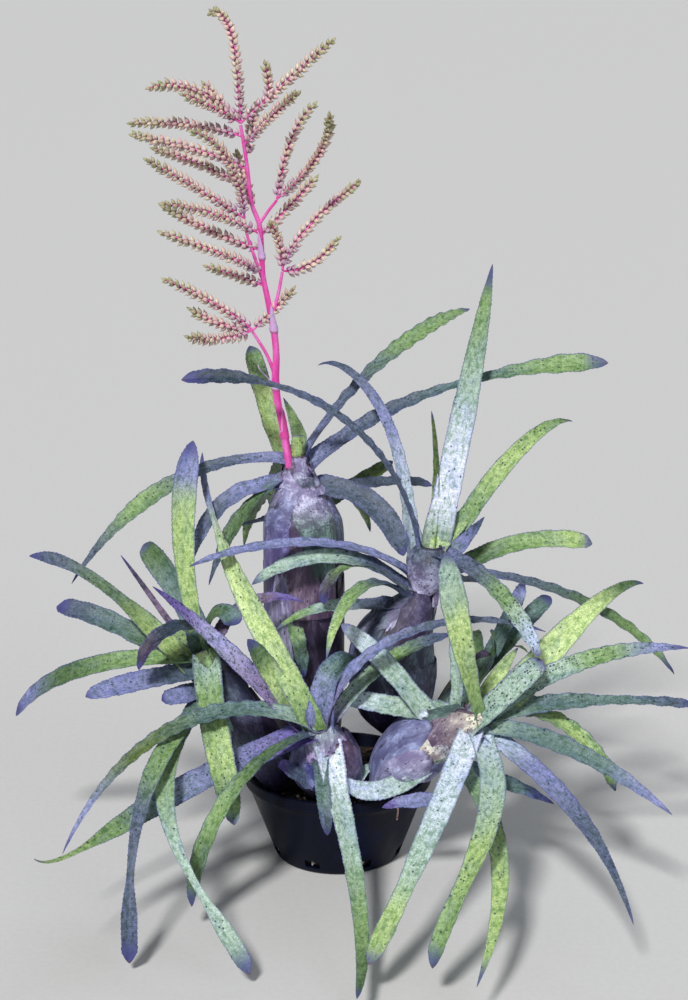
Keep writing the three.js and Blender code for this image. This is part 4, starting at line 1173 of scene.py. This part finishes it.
def scale_leaf(m, start, along, outer, length, width, color):
    """The small bract under a flower, as a thin boat-shaped shell."""
    side = along.cross(outer).normalized()
    outer = side.cross(along).normalized()
    rings = []
    for v, wide in SCALE_PROFILE:
        ring = []
        for x, lift in ((1, 0.0), (0, 0.55), (-1, 0.0), (0, 0.2)):
            co = start + along * (v * length) + side * (x * wide * width / 2)
            co += outer * ((0.35 + lift * 0.8) * width * 0.5 * (0.4 + v))
            ring.append(m.point(co, (x * width, v * length, length * 31), (v, 0.5, 0.5, 1), (*color, 1)))
        rings.append(ring)
    rings.append([m.point(start + along * length + outer * (0.5 * width), (0, length, 0), (1, 0.5, 0.5, 1),
                          (*tint_mix(color, GREEN, 0.4), 1))])
    m.skin(rings)


def spike(m, row, seed):
    start, course, length = row[:3], row[3:8], row[8]
    draw = random.Random(seed)
    steps = max(10, round(length / 3))
    points = midline_at(start, course, length - 5, steps, round(length / 5.9))
    path = [[*p, lerp(*STALK_RADII, k / steps)] for k, p in enumerate(points)]
    tube(m, path, STALK_SIDES, seed, slot=1, rough=0.1)
    for k in range(int((length - STALK_LENGTH - 4) / FLOWER_PITCH)):
        share = (STALK_LENGTH + k * FLOWER_PITCH) / (length - 2)
        along, upper, side = frame_at(course, share, 0)
        angle = math.radians(FLOWER_SIDES[k % 4] + draw.uniform(-20, 20))
        out = (upper * math.cos(angle) + side * math.sin(angle)).normalized()
        late = smooth(0.8, 1.0, share)
        open_by = math.radians(draw.uniform(38, 56) * (1 - 0.4 * late))
        aim = (along * math.cos(open_by) + out * math.sin(open_by)).normalized()
        size = lerp(1, 0.8, late) * lerp(0.8, 1, smooth(0, 0.1, share)) * draw.uniform(0.85, 1.1)
        green = min(1, max(0, smooth(0.6, 1.0, share) * 0.9 + draw.uniform(-0.25, 0.35)))
        foot = along_points(points, share) + out * 1.2
        lilac = 1 - smooth(0, 0.4, share)
        bud(m, foot, aim, out, *(value * size for value in BUD_SIZE), draw, green, lilac)
        scale_leaf(m, foot - out * 0.4, (along * 0.75 + out * 0.65).normalized(), along * 0.2 - out,
                   *(value * size for value in SCALE_SIZE), tint_mix(ROSE, HUSK, draw.random()))
    along = frame_at(course, 1, 0)[0]
    bud(m, points[-1] - along * 2.0, along, UP, *END_BUD_SIZE, draw, 0.9)


def sprays():
    for number, (name, rows) in enumerate(SPRAYS.items()):
        m = Mesh()
        for k, row in enumerate(rows):
            spike(m, row, number * 9.1 + k * 2.7 + 1)
        m.build(name + "_fine", [flower_skin, stem_skin], "flower", name)


# Pot, mix and roots

RIM = 100
FOOT = 68
HEIGHT = 95
WALL = 2.6
BAND = 13
BAND_DEPTH = 3.5
ROUND = 4
SLOTS = 8
SLOT_HEIGHT = 9
SLOT_SEGMENTS = 6
POT_SEGMENTS = 160
RIBS = 4
RIB_PITCH = 2.5
SHOULDER = HEIGHT - BAND
SLOT_LOW = ROUND + WALL
SLOT_MIDDLE = 11
SLOT_HIGH = SLOT_LOW + SLOT_HEIGHT
SOIL_TOP = 84
SOIL_RADIUS = 93.0
SOIL_RINGS = 34
SOIL_AROUND = 96


def wall_at(z, inset=0):
    """Point of the pot's profile at a height of its wall, outside or inset."""
    return lerp(FOOT, RIM - BAND_DEPTH, (z - ROUND) / (SHOULDER - ROUND)) - inset, z


def pot():
    """The pot, with a ribbed band under its rim and slots low on its wall."""
    outer = [(0, 0), (FOOT - 6, 0), (FOOT - 2.6, 0.5), (FOOT - 0.8, 2), wall_at(ROUND), wall_at(SLOT_LOW),
             wall_at(SLOT_MIDDLE), wall_at(SLOT_HIGH)]
    z = SLOT_HIGH + 4
    while z < SHOULDER - 3:
        outer.append(wall_at(z))
        z += 5
    outer += [(wall_at(SHOULDER)[0] - 0.1, SHOULDER - 1.2), (97.2, SHOULDER - 0.3), (99.2, SHOULDER + 0.4)]
    for k in range(RIBS):
        low = SHOULDER + 2 + k * RIB_PITCH
        outer += [(99.5, low), (99.95, low + 0.6), (99.95, low + 1.2), (99.5, low + 1.8)]
    outer += [(RIM, HEIGHT - 1.6), (RIM - 0.3, HEIGHT - 0.5), (RIM - 1, HEIGHT)]
    inside = [(RIM - WALL - 1, HEIGHT), (RIM - WALL - 1.6, HEIGHT - 1.4),
              (RIM - BAND_DEPTH - WALL, SHOULDER),
              *(wall_at(z, WALL) for z in (50, SLOT_HIGH, SLOT_MIDDLE, SLOT_LOW)), (0, SLOT_LOW)]
    profile = outer + inside
    m = Mesh()
    rings = []
    for r, z in profile:
        if r == 0:
            rings.append([m.point((0, 0, z))] * POT_SEGMENTS)
            continue
        ring = []
        for k in range(POT_SEGMENTS):
            out = level(360 * k / POT_SEGMENTS)
            dent = 0.5 * wobble(1.3 * out.x, 1.3 * out.y, z / 60) * smooth(20, HEIGHT, z)
            ring.append(m.point(out * (r + dent) + UP * z))
        rings.append(ring)

    low_out, high_out = profile.index(wall_at(SLOT_LOW)), profile.index(wall_at(SLOT_HIGH))
    low_in, high_in = len(profile) - 2, len(profile) - 4
    per = POT_SEGMENTS // SLOTS
    first = (per - SLOT_SEGMENTS) // 2

    def solid(i, k):
        in_slot = first <= k % per < first + SLOT_SEGMENTS
        return not (in_slot and (low_out <= i < high_out or high_in <= i < low_in))

    m.walls(rings, keep=solid)
    for start in range(first, POT_SEGMENTS, per):
        for k in (start, start + SLOT_SEGMENTS):
            for i in range(high_out - low_out):
                m.face(rings[low_out + i][k], rings[low_out + i + 1][k],
                       rings[low_in - i - 1][k], rings[low_in - i][k])
        for k in range(start, start + SLOT_SEGMENTS):
            for out, inner in ((low_out, low_in), (high_out, high_in)):
                m.face(rings[out][k], rings[out][k + 1], rings[inner][k + 1], rings[inner][k])
    m.build("pot_fine", [pot_plastic], "pot_plastic", "pot", sharp=38)


def soil():
    """The mix: a body that fills the pot, with a crumbled top."""
    m = Mesh()
    turns = [level(360 * k / SOIL_AROUND) for k in range(SOIL_AROUND)]
    rings = [[m.point((0, 0, 8))] * SOIL_AROUND]
    for r, z in ((64, 8), (75, 30), (84, 55), (SOIL_RADIUS, 79)):
        rings.append([m.point(out * r + UP * z) for out in turns])
    for i in range(SOIL_RINGS):
        ring = []
        for out in turns:
            x, y, _ = out * (SOIL_RADIUS * (1 - i / SOIL_RINGS))
            z = SOIL_TOP - 1.2 + 1.6 * wobble(x / 9, y / 9, 1.0) + 1.2 * wobble(x / 3.5, y / 3.5, 5.0)
            ring.append(m.point((x, y, min(z, SOIL_TOP + 1.5) - (3 if i == 0 else 0))))
        rings.append(ring)
    rings.append([m.point((0, 0, SOIL_TOP - 1))] * SOIL_AROUND)
    m.walls(rings)
    m.build("mix_fine", [mix_crumb], "mix", "potting_mix", sharp=70)


def chip(m, centre, size, draw, flat=0.45, n=3):
    """A rough chip: a cube of n by n faces a side, rounded and pulled out of true."""
    turn = Matrix.Rotation(draw.uniform(0, TURN), 3, "Z") @ Matrix.Rotation(draw.uniform(-0.6, 0.6), 3, "X")
    index = {}
    shift = draw.uniform(0, 50)

    def corner(*key):
        if key not in index:
            p = Vector([2 * i / n - 1 for i in key])
            p = p.lerp(p.normalized(), 0.55)
            p *= 1 + 0.35 * wobble(p.x + shift, p.y, p.z)
            index[key] = m.point(centre + turn @ Vector((p.x * size, p.y * size * 0.62, p.z * size * flat)))
        return index[key]

    for axis in range(3):
        for end in (0, n):
            for i in range(n):
                for j in range(n):
                    quad = ([i, j], [i + 1, j], [i + 1, j + 1], [i, j + 1])
                    m.face(*(corner(*key[:axis], end, *key[axis:]) for key in quad))


BARK_CHIPS = 230
BARK_SIZES = (2.2, 5.2)
GRIT_SIZES = (1.0, 1.9)
SLOT_CHIPS = 7
SLOT_CHIP_SIZES = (1.2, 2.2)
GRIT_FLAT = 0.8


def polar(r, a, z):
    return Vector((r * math.cos(a), r * math.sin(a), z))


def chips():
    """Bark and grit: every ninth chip on the mix is grit, and every third one behind the slots."""
    draw = random.Random(5)
    bark, grit = Mesh(), Mesh()
    for k in range(BARK_CHIPS):
        r, a = 90 * math.sqrt(draw.random()), draw.uniform(0, TURN)
        where = polar(r, a, SOIL_TOP - 0.3 + draw.uniform(0, 1.6))
        if k % 9:
            chip(bark, where, draw.uniform(*BARK_SIZES), draw)
        else:
            chip(grit, where, draw.uniform(*GRIT_SIZES), draw, GRIT_FLAT)
    for s in range(SLOTS):
        for k in range(SLOT_CHIPS):
            a = TURN * (s + 0.5 + draw.uniform(-0.08, 0.08)) / SLOTS
            where = polar(draw.uniform(64.5, 67), a, draw.uniform(9, 15))
            chip(bark if k % 3 else grit, where, draw.uniform(*SLOT_CHIP_SIZES), draw, GRIT_FLAT)
    bark.build("bark_chips_fine", [bark_chips], "mix", sharp=30)
    grit.build("perlite_fine", [perlite_grit], "mix", sharp=40)


ROOT_RADII = (1.35, 0.8)
BROWN_ROOTS = 26
BROWN_RADII = (0.6, 0.3)
BROWN_STEPS = 9


def loose_root():
    m = Mesh()
    route = smooth_path([[*p, 0] for p in LOOSE_ROOT], 10)
    path = [[*ring[:3], lerp(*ROOT_RADII, k / len(route))] for k, ring in enumerate(route)]
    tube(m, path, 10, 3.1, rough=0.25)
    m.build("loose_root_fine", [root_pale], "root", "loose_root")


def brown_roots():
    """Fine roots between the front tanks, which wander down to the mix."""
    draw = random.Random(11)
    m = Mesh()
    for k in range(BROWN_ROOTS):
        x, y = draw.uniform(8, 42), draw.uniform(-62, -8)
        z = SOIL_TOP + draw.uniform(8, 34)
        heading = draw.uniform(0, TURN)
        path = []
        for i in range(BROWN_STEPS + 1):
            v = i / BROWN_STEPS
            path.append([x + 14 * v * math.cos(heading) + 4 * wobble(v * 3, k, 0.5),
                         y + 10 * v * math.sin(heading) + 4 * wobble(v * 3, k, 9.5),
                         z - (z - SOIL_TOP + 1) * v ** 1.4, lerp(*BROWN_RADII, v)])
        tube(m, smooth_path(path, 3), 6, k * 1.3, rough=0.2)
    m.build("brown_roots", [root_brown], "root")


leaf_skin = leaf_material()
base_skin = base_material()
stem_skin = stem_material()
bract_paper = bract_material()
flower_skin = flower_material()
pot_plastic = pot_material()
mix_crumb = soil_material()
bark_chips = bark_material()
perlite_grit = grainy_material("perlite_grit", (0.45, 0.43, 0.4), (0.8, 0.78, 0.74))
root_pale = grainy_material("root_pale", (0.42, 0.2, 0.2), (0.75, 0.58, 0.55))
root_brown = grainy_material("root_brown", (0.06, 0.025, 0.012), (0.26, 0.12, 0.06))

for key, parts in ROSETTES.items():
    rosette(key, *parts)
flower_stem()
for number, (key, row) in enumerate(BRACTS.items()):
    bract(key, row, number * 5.3 + 1, 1.0 if key == "bract_foot" else 0.15)
sprays()
pot()
soil()
chips()
loose_root()
brown_roots()


# Stage, light and camera

FLOOR_HALF = 40
CAMERA_PLACE = (0.0065, -2.2034, 1.0229)
LOOK_DOWN = 16


def floor():
    mesh = bpy.data.meshes.new("floor")
    corners = [(x * FLOOR_HALF, y * FLOOR_HALF, 0) for x, y in ((-1, -1), (1, -1), (1, 1), (-1, 1))]
    mesh.from_pydata(corners, [], [(0, 1, 2, 3)])
    mesh.materials.append(floor_material())
    obj = bpy.data.objects.new("floor", mesh)
    bpy.context.collection.objects.link(obj)


def sun(name, compass, height, softness, power, color):
    """A soft distant light that comes from a compass direction and a height, both in degrees."""
    data = bpy.data.lights.new(name, "SUN")
    data.angle = math.radians(softness)
    data.energy = power
    data.color = color
    obj = bpy.data.objects.new(name, data)
    up = math.radians(height)
    where = level(compass) * math.cos(up) + UP * math.sin(up)
    obj.rotation_euler = where.to_track_quat("Z", "Y").to_euler()
    obj.location = where * 3
    bpy.context.collection.objects.link(obj)


floor()
sun("key", 250, 46, 9, 2.9, (1.0, 0.985, 0.96))
sun("fill", 318, 26, 30, 0.4, (0.94, 0.97, 1.0))
sun("rear", 60, 48, 20, 0.45, (0.90, 0.94, 1.0))

world = bpy.data.worlds.new("world")
bpy.context.scene.world = world
world.use_nodes = True
sky = world.node_tree.nodes["Background"]
sky.inputs["Color"].default_value = (0.92, 0.94, 1.0, 1)
sky.inputs["Strength"].default_value = 0.21
bpy.context.scene.view_settings.view_transform = "Standard"

camera = bpy.data.objects.new("camera", bpy.data.cameras.new("camera"))
camera.data.lens = 80
camera.data.sensor_width = 36
camera.data.clip_end = 200
camera.location = CAMERA_PLACE
camera.rotation_euler = (math.radians(90 - LOOK_DOWN), 0, 0)
bpy.context.collection.objects.link(camera)
bpy.context.scene.camera = camera
